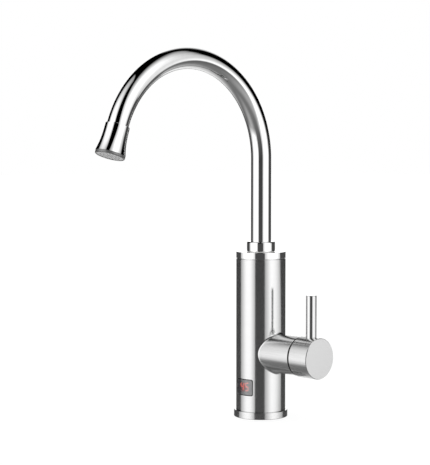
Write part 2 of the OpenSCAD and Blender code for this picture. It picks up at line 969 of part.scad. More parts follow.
// Short pipe from the valve into the chamber's floor
module heater_inlet_pipe() {
    color("silver")
        translate([pipe_x, 0, 0])
            ring_z(pipe_r, pipe_bore_r, valve_top - pipe_seat, chamber_z + chamber_floor);
}

// Heating chamber: a cup whose floor takes the pipe, the element's legs and the sensor
module heater_chamber() {
    color("whitesmoke")
        difference() {
            bar_z(chamber_r, chamber_z, chamber_top);
            bar_z(chamber_in_r, chamber_z + chamber_floor, chamber_top + cut);
            translate([pipe_x, 0, 0]) bar_z(pipe_r + fit, chamber_z - cut, chamber_z + chamber_floor);
            at_legs() bar_z(element_r + fit, chamber_z - cut, chamber_z + chamber_floor + cut);
            translate([ntc_x, ntc_y, 0]) bar_z(ntc_r + fit, chamber_z - cut, chamber_z + chamber_floor + cut);
        }
}

// Lid with a sealed plug and the neck that leads the hot water to the spout
module chamber_lid() {
    color("whitesmoke")
        difference() {
            union() {
                bar_z(lid_plug_r, chamber_top - lid_plug_h, chamber_top);
                bar_z(chamber_r, chamber_top, lid_top);
                bar_z(lid_neck_r, lid_top, lid_neck_top);
            }
            bar_z(socket_water_r, chamber_top - lid_plug_h - cut, lid_neck_top);
            bar_z(socket_tail_r + fit, socket_tail_z, lid_neck_top + cut);
            ring_z(lid_plug_r + cut, lid_plug_r - 2 * lid_ring_r, lid_ring_z, lid_ring_z + lid_ring_w);
        }
}

// O-ring in the lid's plug
module chamber_o_ring() {
    color("black")
        o_ring_z(lid_plug_r - lid_ring_r + o_ring_proud, lid_ring_r, lid_ring_z + lid_ring_w / 2);
}

// Sheathed heating tube, coiled in the chamber
module heating_element() {
    color("silver") sweep_tube(element_path(), element_r, 8);
}

// Pins on the ends of the heating tube
module heater_terminals() {
    color("goldenrod") at_legs() bar_z(pin_r, leg_z - pin_len, leg_z);
}

// One lead: up behind the valve, then level to its pin
module heater_lead(x, pin) {
    bend_z = leg_z - pin_len / 2;
    way = [pin[0] - x, pin[1] - lead_y];
    translate([x, lead_y, 0]) bar_z(lead_r, lead_z0, bend_z);
    translate([x, lead_y, bend_z]) {
        sphere(r = lead_elbow_r);
        rotate([0, 0, atan2(way[1], way[0])])
            rotate([0, 90, 0])
                cylinder(r = lead_r, h = norm(way) - pin_r - fit);
    }
}

// Two heater leads from the power board to the pins
module heater_leads() {
    color("firebrick") {
        heater_lead(-lead_x, polar(coil_r, leg_angle, 0));
        heater_lead(lead_x, polar(core_leg_r, core_leg_end, 0));
    }
}

// Thermal cut-out on the chamber's floor
module thermal_cutout() {
    color("black")
        translate([cutout_x, cutout_y, 0]) bar_z(cutout_r, chamber_z - cutout_h, chamber_z);
}

// Water temperature probe through the chamber's floor
module ntc_sensor() {
    color("silver")
        translate([ntc_x, ntc_y, 0]) bar_z(ntc_r, ntc_z, ntc_z + ntc_len);
}

// Brass socket in the cap: the spout's stem turns in its bore
module swivel_socket() {
    color("goldenrod")
        difference() {
            union() {
                bar_z(socket_tail_r, socket_tail_z, lid_neck_top);
                bar_z(socket_flange_r, lid_neck_top, cap_z);
                bar_z(socket_r, cap_z, socket_top);
            }
            bar_z(socket_water_r, socket_tail_z - cut, stem_end);
            bar_z(stem_r + run_fit, stem_end - side_gap, socket_top + cut);
        }
}

// Steel cap of the body, with a skirt inside the tube
module top_cap() {
    color("gainsboro")
        difference() {
            union() {
                rounded_ring(body_r, socket_r + fit, cap_z, cap_top, cap_round, 0);
                ring_z(inner_r - fit, inner_r - fit - cap_skirt_t, cap_z - cap_skirt, cap_z + cut);
            }
            bar_z(socket_r + fit, cap_z - cut, cap_top + cut);
        }
}

// Steel ring in the groove under the cap
module cap_ring() {
    color("gainsboro") ring_z(body_r - 0.8, inner_r + 0.05, body_h, cap_z);
}

// Thin washer under the collar nut
module collar_gasket() {
    color("white") ring_z(collar_r - collar_foot_round, socket_r + fit, cap_top, collar_z);
}

// Collar nut: it clamps the cap and traps the spout's shoulder under its lip
module collar_nut() {
    color("gainsboro")
        difference() {
            rounded_ring(collar_r, tube_r + side_gap, collar_z, collar_top,
                         collar_round, collar_foot_round);
            bar_z(socket_r + fit, collar_z - cut, lip_z);
        }
}

// Plastic washer between the socket and the spout's shoulder
module lower_slip_washer() {
    color("white") ring_z(socket_r - side_gap, stem_r + side_gap, socket_top, socket_top + washer_t);
}

// Plastic washer between the spout's shoulder and the collar's lip
module upper_slip_washer() {
    z0 = shoulder_top + face_gap;
    color("white") ring_z(socket_r, tube_r + side_gap, z0, z0 + washer_t);
}

// Brass ferrule in the foot of the spout tube
module spout_ferrule() {
    color("goldenrod")
        difference() {
            union() {
                bar_z(stem_r, stem_end, shoulder_z);
                bar_z(socket_r - side_gap, shoulder_z, shoulder_top);
                bar_z(tube_bore_r - fit / 2, shoulder_top, shoulder_top + ferrule_plug);
            }
            bar_z(ferrule_bore_r, stem_end - cut, shoulder_top + ferrule_plug + cut);
            for (z = stem_ring_z)
                ring_z(stem_r + cut, stem_r - 2 * stem_ring_r, z, z + stem_ring_w);
        }
}

// Two O-rings on the ferrule's stem
module spout_o_rings() {
    color("black")
        for (z = stem_ring_z)
            o_ring_z(stem_r - stem_ring_r + run_fit / 2, stem_ring_r, z + stem_ring_w / 2);
}

// Spout tube: a straight riser, one round bend and a short end, turned down, inside the nozzle
module spout_tube() {
    color("gainsboro") {
        ring_z(tube_r, tube_bore_r, shoulder_top, riser_h);
        translate([0, -arch_r, riser_h])
            rotate([90, 0, 90])
                rotate_extrude(angle = arch_angle)
                    translate([arch_r, 0])
                        difference() {
                            circle(r = tube_r);
                            circle(r = tube_bore_r);
                        }
        at_nozzle() ring_z(tube_r - stub_turned, tube_bore_r + stub_turned, -stub_root, tube_stub);
    }
}

// Radius of the nozzle's outside at a distance along it
function nozzle_radius(s) =
    let (t = (s - nozzle_step) / (nozzle_len - nozzle_step))
    nozzle_top_d / 2 + nozzle_belly * t
    + (nozzle_rim_d / 2 - nozzle_top_d / 2 - nozzle_belly) * pow(t, nozzle_power);

// Flared nozzle shell
module nozzle_shell() {
    steps = 14;
    flare = [
        for (i = [0 : steps])
            let (s = nozzle_step + (nozzle_len - nozzle_step) * i / steps)
            [nozzle_radius(s), s]
    ];
    color("gainsboro")
        at_nozzle()
            difference() {
                rotate_extrude()
                    polygon(concat([[0, 0], [nozzle_top_d / 2 - nozzle_step / 2, 0]],
                                   flare, [[0, nozzle_len]]));
                bar_z(tube_r + fit / 2, -cut, tube_stub);
                bar_z(outlet_thread_r, tube_stub, nozzle_len + cut);
            }
}

// Rubber ring against the end of the spout tube
module nozzle_gasket() {
    color("black")
        at_nozzle()
            ring_z(outlet_thread_r - fit, nozzle_gasket_in_r, tube_stub, tube_stub + nozzle_gasket_t);
}

// Plastic insert with straight channels
module flow_straightener() {
    z0 = tube_stub + nozzle_gasket_t;
    color("white")
        at_nozzle()
            difference() {
                bar_z(outlet_thread_r - fit, z0, z0 + straightener_len);
                bar_z(straightener_hole_r, z0 - cut, z0 + straightener_len + cut);
                for (a = [0 : 60 : 300])
                    rotate([0, 0, a])
                        translate([straightener_ring_r, 0, 0])
                            bar_z(straightener_hole_r, z0 - cut, z0 + straightener_len + cut);
            }
}

// Outlet ring, screwed into the shell and standing out of it with a rounded lip
module outlet_ring() {
    z0 = tube_stub + nozzle_gasket_t + straightener_len;
    end = nozzle_len + outlet_h;
    color("gray")
        at_nozzle()
            difference() {
                union() {
                    bar_z(outlet_thread_r - fit, z0, nozzle_len);
                    rounded_ring(outlet_r, outlet_bore_r, nozzle_len, end, outlet_round, 0);
                }
                bar_z(outlet_bore_r, z0 - cut, end + cut);
                bar_z(screen_r + fit / 2, end - screen_inset - screen_t, end + cut);
            }
}

// Round outlet screen with a pattern of small holes
module outlet_screen() {
    z0 = nozzle_len + outlet_h - screen_inset - screen_t;
    color("lightgray")
        at_nozzle()
            difference() {
                bar_z(screen_r, z0, z0 + screen_t);
                bar_z(screen_hole_r, z0 - cut, z0 + screen_t + cut);
                for (ring = [1 : screen_rings], k = [0 : 6 * ring - 1])
                    rotate([0, 0, k * 60 / ring])
                        translate([ring * screen_pitch, 0, 0])
                            bar_z(screen_hole_r, z0 - cut, z0 + screen_t + cut, $fn = 24);
            }
}

deck_gasket();
base_flange();
base_plate();
cable_gland();
base_screws();
chassis_rails();
body_shell();
display_window();
window_seal_frame();
display_carrier();
display_board();
display_digits();
power_board();
relay();
triac();
flow_housing();
flow_cap();
flow_float();
float_spring();
reed_switch();
valve_body();
valve_o_ring();
branch_sleeve();
clamp_nut();
cartridge_body();
seat_seal();
fixed_ceramic_disc();
moving_ceramic_disc();
cartridge_spindle();
spindle_o_ring();
knob_seal();
handle_knob();
lever_pin();
knob_grub_screw();
spacer_ring();
heater_inlet_pipe();
heater_chamber();
chamber_lid();
chamber_o_ring();
heating_element();
heater_terminals();
heater_leads();
thermal_cutout();
ntc_sensor();
swivel_socket();
top_cap();
cap_ring();
collar_gasket();
collar_nut();
lower_slip_washer();
upper_slip_washer();
spout_ferrule();
spout_o_rings();
spout_tube();
nozzle_shell();
nozzle_gasket();
flow_straightener();
outlet_ring();
outlet_screen();
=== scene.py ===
"""Electric instant water heater tap: skins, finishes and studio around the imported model.

Each outer skin is a set of patches. A patch is a grid of points worked out with numpy, with the
surface's own normals and, where it has openings, the cells that it keeps. Patches that meet are
welded into one closed mesh, so a polished tube reflects as a true cylinder and not as facets.
"""

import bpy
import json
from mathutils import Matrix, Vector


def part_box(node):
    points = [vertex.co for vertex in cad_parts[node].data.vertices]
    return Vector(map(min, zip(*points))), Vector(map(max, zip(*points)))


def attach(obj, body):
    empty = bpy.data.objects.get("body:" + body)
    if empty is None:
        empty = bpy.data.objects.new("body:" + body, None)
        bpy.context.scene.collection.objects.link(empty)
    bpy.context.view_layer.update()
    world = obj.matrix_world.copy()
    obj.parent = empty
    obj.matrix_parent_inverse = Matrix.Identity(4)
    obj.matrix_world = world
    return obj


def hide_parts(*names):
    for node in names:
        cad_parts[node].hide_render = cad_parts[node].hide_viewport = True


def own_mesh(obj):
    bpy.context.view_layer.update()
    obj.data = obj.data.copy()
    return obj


bl_info = {
    "name": "Instant Water Heater Tap",
    "version": (1, 0, 0),
    "blender": (4, 5, 0),
    "location": "3D View > Sidebar > Tap",
    "description": "Skins, finishes and studio of an electric instant water heater tap",
    "category": "Add Mesh",
}

import json
import math
from collections import namedtuple

import bmesh
import bpy
import numpy as np
from mathutils import Matrix, Vector

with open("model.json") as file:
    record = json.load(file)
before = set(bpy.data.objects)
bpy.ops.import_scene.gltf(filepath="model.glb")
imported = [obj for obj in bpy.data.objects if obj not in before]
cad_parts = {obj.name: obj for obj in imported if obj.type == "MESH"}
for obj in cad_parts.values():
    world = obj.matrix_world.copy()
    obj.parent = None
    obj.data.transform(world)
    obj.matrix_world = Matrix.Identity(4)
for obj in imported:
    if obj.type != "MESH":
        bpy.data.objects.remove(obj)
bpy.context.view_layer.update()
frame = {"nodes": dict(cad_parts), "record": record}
SLOT_OF = {part["node"]: part["material_slot"] for part in frame["record"]["subparts"]}
COLOUR_OF = {m["slot"]: m["base_color"] for m in frame["record"]["materials"]}

MM = 0.001
WELD = 1e-7
SAME = 1e-9
ROUND_STEPS = 192
EDGE_STEPS = 6
BEND_STEPS = 224
TUBE_STEPS = 160
BLOCK_CELL = 0.7 * MM
# PLAY is left round a piece that is set into an opening, FIT round one that seats in another.
PLAY = 0.05 * MM
FIT = 0.1 * MM
TUBE_STUB = 9 * MM

Patch = namedtuple("Patch", "points normals cells", defaults=(None,))
Opening = namedtuple("Opening", "facing centre half_width half_height reach chamfer")


def radius_of(node):
    """Radius of a node that is round about the body's axis, or half a centred one's width."""
    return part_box(node)[1].x


def bottom_of(node):
    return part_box(node)[0].z


def top_of(node):
    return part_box(node)[1].z


def half_of(node):
    """Half a node's height, its radius where it is round about the valve's axis."""
    return (top_of(node) - bottom_of(node)) / 2


def middle_of(node):
    """Height of a node's middle."""
    return (bottom_of(node) + top_of(node)) / 2


def valve_height():
    """Height of the valve's axis."""
    return middle_of("handle_knob")


def number(name, description, default, **rest):
    return bpy.props.FloatProperty(name=name, description=description, default=default, **rest)


def length(name, description, millimetres):
    """A size property, given in millimetres and kept in metres."""
    return number(name, description, millimetres * MM, min=0.0, precision=5, unit="LENGTH",
                  subtype="DISTANCE")


def angle(name, description, degrees, **limits):
    """An angle property, given in degrees and kept in radians."""
    return number(name, description, math.radians(degrees), unit="ROTATION", subtype="ANGLE",
                  **limits)


def factor(name, description, default):
    """A share between 0 and 1."""
    return number(name, description, default, min=0.0, max=1.0, subtype="FACTOR")


def colour(name, description, default):
    """A colour property."""
    return bpy.props.FloatVectorProperty(name=name, description=description, default=default,
                                         min=0.0, max=1.0, size=3, subtype="COLOR")


class TapSizes(bpy.types.PropertyGroup):
    """Sizes of the skins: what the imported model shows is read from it."""

    edge_break: length("Edge break", "Small chamfer on a machined edge", 0.25)
    wall: length("Tube wall", "Wall of the body tube", 1.5)
    flange_round: length("Flange rounding", "Rounding of the flange's top edge", 0.3)
    flange_foot: length("Flange foot", "Rounding of the flange's bottom edge", 0.5)
    window_corner: length("Window corner", "Corner radius of the window", 1.8)
    window_seal: length("Window seal", "Width of the dark seal round the lens", 0.45)
    digit_height: length("Digit height", "Height of a digit of the readout", 9.2)
    digit_width: length("Digit width", "Width of a digit of the readout", 5.2)
    digit_shift: length("Digit shift", "How far the readout sits left of the window's middle", 1.7)
    branch_bore: length("Branch bore", "Bore of the side branch at the body", 14.4)
    branch_fillet: length("Branch fillet", "Fillet where the branch joins the body", 2.0)
    knob_wall: length("Knob wall", "Wall of the knob", 3.4)
    knob_floor: length("Knob floor", "Thickness of the knob's end", 3.5)
    knob_edge: length("Knob edge", "Chamfer at the knob's rims", 0.45)
    lever_chamfer: length("Lever chamfer", "Chamfer at the lever's tip", 0.4)
    cap_round: length("Cap rounding", "Rounding of the cap's top edge", 0.2)
    collar_round: length("Collar rounding", "Rounding of the collar nut's top edge", 1.5)
    collar_foot: length("Collar foot", "Rounding of the collar nut's bottom edge", 0.4)
    collar_lip: length("Collar lip", "Thickness of the collar nut's lip", 2.2)
    tube_wall: length("Spout wall", "Wall of the spout tube", 1.2)
    bend_radius: length("Bend radius", "Bend radius of the gooseneck", 99)
    bend_angle: angle("Bend angle", "Angle that the gooseneck sweeps", 161.1, min=1.5, max=3.0)
    nozzle_length: length("Nozzle length", "Length of the flared shell", 28)
    nozzle_seam: length("Nozzle seam", "Radius at the nozzle's seam with the tube", 11.6)
    nozzle_top: length("Nozzle top", "Radius below the nozzle's upper step", 11.7)
    nozzle_rim: length("Nozzle rim", "Radius of the flared rim", 14.9)
    nozzle_bore: length("Nozzle bore", "Bore of the nozzle's shell", 10.5)
    outlet_radius: length("Outlet lip", "Radius of the outlet ring's lip", 14.4)
    outlet_length: length("Outlet lip length", "How far the lip stands out of the shell", 2.6)
    spring_wire: length("Spring wire", "Diameter of the float's spring wire", 0.8)
    spring_turns: bpy.props.IntProperty(
        name="Spring turns", description="Turns of the float's spring", default=5, min=1)


class TapFinish(bpy.types.PropertyGroup):
    """Colours and polish of the tap."""

    satin_colour: colour("Satin steel", "Colour of the body's steel", (0.66, 0.66, 0.66))
    bright_colour: colour("Bright steel", "Colour of the polished spout", (0.93, 0.93, 0.93))
    digit_colour: colour("Digits", "Colour of the lit readout", COLOUR_OF["led_red"][:3])
    satin_roughness: factor("Satin roughness", "Roughness of the body's steel", 0.13)
    level_roughness: factor("Valve roughness", "Roughness of the branch's and knob's steel", 0.19)
    lever_roughness: factor("Lever roughness", "Roughness of the lever's steel", 0.07)
    bright_roughness: factor("Bright roughness", "Roughness of the polished spout", 0.035)


class TapStudio(bpy.types.PropertyGroup):
    """Camera and light."""

    camera_distance: length("Camera distance", "Level distance from the body's axis", 1507.7)
    camera_height: length("Camera height", "Height of the lens above the deck", 275.9)
    camera_azimuth: angle("Camera azimuth", "Turn from the spout's side to the lever's", 44.4)
    camera_tilt: angle("Camera tilt", "Tilt of the camera below level", 3.23)
    camera_turn: angle("Camera turn", "Turn of the lens away from the body's axis", 1.81)
    lens: number("Lens", "Focal length in millimetres", 112.86, min=20.0)
    fill: factor("Fill light", "Strength of the even light on matt surfaces", 0.9)


def unit(v):
    return v / np.linalg.norm(v, axis=-1, keepdims=True)


def full_turn(steps):
    """Angles of a full turn in even steps, with both ends."""
    return np.linspace(0, 2 * math.pi, steps + 1)


def wheel(turn, axis=2):
    """Unit vectors (cos turn, sin turn) in the plane of the two axes that follow an axis."""
    made = np.zeros((*np.shape(turn), 3))
    made[..., (axis + 1) % 3], made[..., (axis + 2) % 3] = np.cos(turn), np.sin(turn)
    return made


def grid_normals(points):
    """Normals of a grid whose columns close on themselves: the cross product of its two ways."""
    ring = points[:, :-1]
    across = np.roll(ring, -1, axis=1) - np.roll(ring, 1, axis=1)
    across = np.concatenate([across, across[:, :1]], axis=1)
    return unit(np.cross(np.gradient(points, axis=0), across))


def grid_quads(rows, columns):
    """Corner numbers of a grid's cells, four to a cell."""
    spot = np.arange(rows * columns).reshape(rows, columns)
    return np.stack([spot[:-1, :-1], spot[1:, :-1], spot[1:, 1:], spot[:-1, 1:]], axis=-1)


def patch_corners(patch, offset):
    """Corner numbers of the cells that a patch keeps."""
    quads = grid_quads(*patch.points.shape[:2]) + offset
    return quads[patch.cells] if patch.cells is not None else quads.reshape(-1, 4)


def weld(points):
    """Distinct points, and for each given point the number of the distinct one it falls on."""
    keys = np.round(points / WELD).astype(np.int64)
    _, first, index = np.unique(keys, axis=0, return_index=True, return_inverse=True)
    return points[first], index.reshape(-1)


def turn_faces_out(mesh):
    """Makes the faces of a closed mesh point outwards."""
    work = bmesh.new()
    work.from_mesh(mesh)
    bmesh.ops.recalc_face_normals(work, faces=work.faces)
    work.to_mesh(mesh)
    work.free()


def read_all(items, name, width, kind=float):
    """One value of each item of a mesh, as rows of some width."""
    values = np.zeros(len(items) * width, kind)
    items.foreach_get(name, values)
    return values.reshape(-1, width)


def set_smooth_normals(mesh):
    """Gives each corner the normal of its patch, on the side that its face points to."""
    layer = mesh.attributes["patch_normal"]
    given = read_all(layer.data, "vector", 3)
    counts = read_all(mesh.polygons, "loop_total", 1, np.int32)[:, 0]
    facing = np.repeat(read_all(mesh.polygons, "normal", 3), counts, axis=0)
    side = np.where(np.sum(given * facing, axis=1) < 0, -1.0, 1.0)
    mesh.attributes.remove(layer)
    mesh.shade_smooth()
    mesh.normals_split_custom_set((given * side[:, None]).tolist())


def piece(name, patches, body, slot, *nodes, finish=None):
    """Welds patches into one closed mesh, and lets it ride on a body in place of the nodes.

    Its finish is the slot's own, where no other is named.
    """
    starts = np.cumsum([0] + [p.points.shape[0] * p.points.shape[1] for p in patches])
    quads = np.concatenate([patch_corners(p, s) for p, s in zip(patches, starts)])
    normals = np.concatenate([p.normals.reshape(-1, 3) for p in patches])
    spots, index = weld(np.concatenate([p.points.reshape(-1, 3) for p in patches]))
    corners = index[quads]
    kept = corners != np.roll(corners, 1, axis=1)
    whole = kept.sum(axis=1) > 2
    corners, kept, quads = corners[whole], kept[whole], quads[whole]
    used, vertex_of = np.unique(corners[kept], return_inverse=True)
    counts = kept.sum(axis=1)

    mesh = bpy.data.meshes.new(name)
    mesh.vertices.add(len(used))
    mesh.vertices.foreach_set("co", spots[used].ravel())
    mesh.loops.add(len(vertex_of))
    mesh.loops.foreach_set("vertex_index", vertex_of.astype(np.int32))
    mesh.polygons.add(len(counts))
    mesh.polygons.foreach_set("loop_start", (np.cumsum(counts) - counts).astype(np.int32))
    mesh.update(calc_edges=True)
    layer = mesh.attributes.new("patch_normal", "FLOAT_VECTOR", "CORNER")
    layer.data.foreach_set("vector", normals[quads][kept].ravel())
    turn_faces_out(mesh)
    set_smooth_normals(mesh)
    mesh.materials.append(finish_of(finish or slot))

    made = bpy.data.objects.new(name, mesh)
    bpy.context.scene.collection.objects.link(made)
    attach(made, body)
    if nodes:
        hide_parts(*nodes)
    return made


def moved(patches, place):
    """Patches carried from a local frame to their place."""
    turn, shift = np.array(place.to_3x3()), np.array(place.translation)
    return [Patch(p.points @ turn.T + shift, p.normals @ turn.T, p.cells) for p in patches]


def outline(*corners, free=None):
    """Stretches of a closed outline, walked with the outside on the right.

    A corner is (radius, height) or (radius, height, rounding). Each straight side is a stretch,
    and so is each arc that rounds a corner, tangent to both its sides. A side given in free by
    the number of the corner that it leaves is a curve through those points instead. A stretch
    is (points, normals): a side's normal is its direction turned right, an arc's its radius.
    """
    free = free or {}
    spots = np.array([c[:2] for c in corners], float)
    rounding = np.array([c[2] if len(c) > 2 else 0.0 for c in corners])
    ahead = unit(np.roll(spots, -1, axis=0) - spots)
    behind = np.roll(ahead, 1, axis=0)
    turn = np.arctan2(behind[:, 0] * ahead[:, 1] - behind[:, 1] * ahead[:, 0],
                      np.sum(behind * ahead, axis=1))
    trim = (rounding * np.abs(np.tan(turn / 2)))[:, None]
    reached, left = spots - behind * trim, spots + ahead * trim
    stretches = []
    for i in range(len(corners)):
        if rounding[i] > 0:
            bend = np.sign(turn[i]) * rounding[i]
            right = np.array([behind[i, 1], -behind[i, 0]])
            angles = math.atan2(right[1], right[0]) + np.linspace(0, turn[i], EDGE_STEPS + 1)
            normals = np.stack([np.cos(angles), np.sin(angles)], axis=1)
            stretches.append((reached[i] - bend * right + bend * normals, normals))
        side = free.get(i)
        if side is None:
            side = np.stack([left[i], np.roll(reached, -1, axis=0)[i]])
        along = unit(np.gradient(side, axis=0, edge_order=min(2, len(side) - 1)))
        stretches.append((side, np.stack([along[:, 1], -along[:, 0]], axis=1)))
    return stretches


def revolve(stretches, place=Matrix()):
    """Patches of the solid that an outline of (radius, height) sweeps about the local Z axis."""
    spin = wheel(full_turn(ROUND_STEPS))

    def swept(flat):
        return flat[:, :1, None] * spin + flat[:, 1:, None] * [0, 0, 1]

    return moved([Patch(swept(points), swept(normals)) for points, normals in stretches], place)


def revolve_to(sides, skin):
    """Patches of straight sides swept about the Z axis, at the angles of a skin's columns."""
    spin = skin.normals[:, 0]
    patches = []
    for side in sides:
        along = unit(np.subtract(side[1], side[0]))
        points = np.stack([radius * spin + [0, 0, height] for radius, height in side])
        normals = along[1] * spin + [0, 0, -along[0]]
        patches.append(Patch(points, np.stack([normals, normals])))
    return patches


def on_wall(radius, facing, across, height):
    """Point of a round wall that lies a straight distance across from a facing direction."""
    points = radius * wheel(facing + np.arcsin(across / radius))
    points[..., 2] = height
    return points


def circle_reach(radius):
    """Distance from a round opening's centre to its edge, in every direction."""
    return lambda way: np.full(len(way), radius)


def window_reach(half_width, half_height, corner):
    """Distance from a rounded rectangle's centre to its edge.

    A ray meets the nearer side, or, past the corners' centres, the corner's circle: there the
    distance t solves |t * way - centre| = corner.
    """

    def reach(way):
        size = np.abs(way) + 1e-12
        flat = np.minimum(half_width / size[:, 0], half_height / size[:, 1])
        middle = np.array([half_width - corner, half_height - corner])
        along = size @ middle
        under = np.maximum(along ** 2 - middle @ middle + corner ** 2, 0)
        in_corner = np.all(size * flat[:, None] > middle, axis=1)
        return np.where(in_corner, along + np.sqrt(under), flat)

    return reach


def opening_block(opening, inner_radius):
    """Angles and heights of the block of cells that is opened round an opening."""
    margin, fewest = 0.05, 12
    half_angle = math.asin(opening.half_width / inner_radius) + margin
    half_height = opening.half_height + margin * inner_radius
    columns, rows = (2 * max(fewest, round(reach / BLOCK_CELL))
                     for reach in (half_angle * inner_radius, half_height))
    return (np.linspace(opening.facing - half_angle, opening.facing + half_angle, columns + 1),
            np.linspace(opening.centre - half_height, opening.centre + half_height, rows + 1))


def block_loop(angles, heights):
    """The boundary of a block of cells, once round, as angles and heights."""
    along = np.concatenate([angles[:-1], np.full(len(heights) - 1, angles[-1]),
                            angles[:0:-1], np.full(len(heights) - 1, angles[0]), angles[:1]])
    up = np.concatenate([np.full(len(angles) - 1, heights[0]), heights[:-1],
                         np.full(len(angles) - 1, heights[-1]), heights[:0:-1], heights[:1]])
    return along, up


def opening_edge(opening, inner_radius, growth=0.0):
    """The opening's edge as (across, height), one for each point of its block's loop."""
    along, up = block_loop(*opening_block(opening, inner_radius))
    way = unit(np.stack([(along - opening.facing) * inner_radius, up - opening.centre], axis=1))
    flat = way * (opening.reach(way) + growth)[:, None]
    return flat[:, 0], opening.centre + flat[:, 1]


def filled(stops, step):
    """Numbers from the first stop to the last, through every stop, in steps of about one size."""
    parts = [np.linspace(a, b, max(1, math.ceil((b - a) / step)) + 1)[:-1]
             for a, b in zip(stops[:-1], stops[1:])]
    return np.concatenate(parts + [stops[-1:]])


def spliced(steps, block):
    """Steps in which a block's own ones take the place of those that it covers."""
    before, after = steps < block[0] - SAME, steps > block[-1] + SAME
    return np.concatenate([steps[before], block, steps[after]])


def opened_skin(radius, inner_radius, low, high, openings, seam, growth=0.0):
    """Patches of a round wall's skin with its openings.

    The skin is a grid of angles and heights. The cells of each opening's block are left out, and
    rows that blend from the block's boundary to the opening's edge fill the space between.
    """
    blocks = [opening_block(o, inner_radius) for o in openings]
    edges = [x for angles, _ in blocks for x in (angles[0], angles[-1])]
    angles = np.sort(np.array([seam, seam + 2 * math.pi] + edges))
    angles = filled(angles, 2 * math.pi / ROUND_STEPS)
    heights = filled(np.unique([low, high] + [h for _, hs in blocks for h in (hs[0], hs[-1])]), 1.0)
    for block_angles, block_heights in blocks:
        angles, heights = spliced(angles, block_angles), spliced(heights, block_heights)
    across, rise = (angles[1:] + angles[:-1]) / 2, (heights[1:] + heights[:-1]) / 2
    cells = np.ones((len(across), len(rise)), bool)
    for block_angles, block_heights in blocks:
        cells &= ~np.outer((block_angles[0] < across) & (across < block_angles[-1]),
                           (block_heights[0] < rise) & (rise < block_heights[-1]))
    spread, rise = np.meshgrid(angles, heights, indexing="ij")
    patches = [wall_patch(radius, spread, rise, cells)]
    for opening, block in zip(openings, blocks):
        along, up = block_loop(*block)
        across, height = opening_edge(opening, inner_radius, growth)
        edge_angle = opening.facing + np.arcsin(across / radius)
        share = np.linspace(0, 1, 4)[:, None]
        patches.append(wall_patch(radius, along + share * (edge_angle - along),
                                  up + share * (height - up)))
    return patches


def wall_patch(radius, angles, heights, cells=None):
    """A patch of a round wall, whose normals are its radii."""
    normals = wheel(angles)
    points = radius * normals
    points[..., 2] = heights
    return Patch(points, normals, cells)


def opening_rims(opening, inner_radius, radius):
    """Patches of an opening's rim: a narrow chamfer, then straight in through the wall."""
    lip, step, back = (
        on_wall(wall, opening.facing, *opening_edge(opening, inner_radius, growth))
        for wall, growth in ((radius, opening.chamfer), (radius - opening.chamfer, 0.0),
                             (inner_radius, 0.0)))
    pairs = [np.stack(pair) for pair in ((lip, step), (step, back))]
    return [Patch(pair, grid_normals(pair)) for pair in pairs]


def opened_wall(radius, inner_radius, low, high, inner_low, inner_high, openings, seam):
    """Patches of a round wall: outer skin, inner skin and the rims of its openings."""
    patches = opened_skin(radius, inner_radius, low, high, openings, seam, openings[0].chamfer)
    patches += opened_skin(inner_radius, inner_radius, inner_low, inner_high, openings, seam)
    for opening in openings:
        patches += opening_rims(opening, inner_radius, radius)
    return patches


def plate(loop, near, far, rows=10):
    """Patches of a plate: an outline in its own plane, shown by near and backed by far.

    Each face is the outline drawn in to its centre; near and far turn (across, up) into points
    and normals. The rim joins the two faces.
    """
    share = np.linspace(0, 1, rows + 1)[:, None, None]
    grid = share * loop
    rim = np.stack([near(loop)[0], far(loop)[0]])
    return [Patch(*near(grid)), Patch(*far(grid)), Patch(rim, grid_normals(rim))]


def hoop(outer, inner, near, far):
    """Patches of a flat ring between two outlines, with a face on each side and two rims."""
    grid = np.stack([outer, (outer + inner) / 2, inner])
    rims = [np.stack([near(loop)[0], far(loop)[0]]) for loop in (outer, inner)]
    return [Patch(*near(grid)), Patch(*far(grid))] + [Patch(rim, grid_normals(rim)) for rim in rims]


def add_node(tree, kind, inputs=None, **settings):
    """A new node with its settings, its inputs linked to sockets or given values."""
    made = tree.nodes.new(kind)
    for name, value in settings.items():
        setattr(made, name, value)
    for name, value in (inputs or {}).items():
        if isinstance(value, bpy.types.NodeSocket):
            tree.links.new(value, made.inputs[name])
        else:
            made.inputs[name].default_value = value
    return made


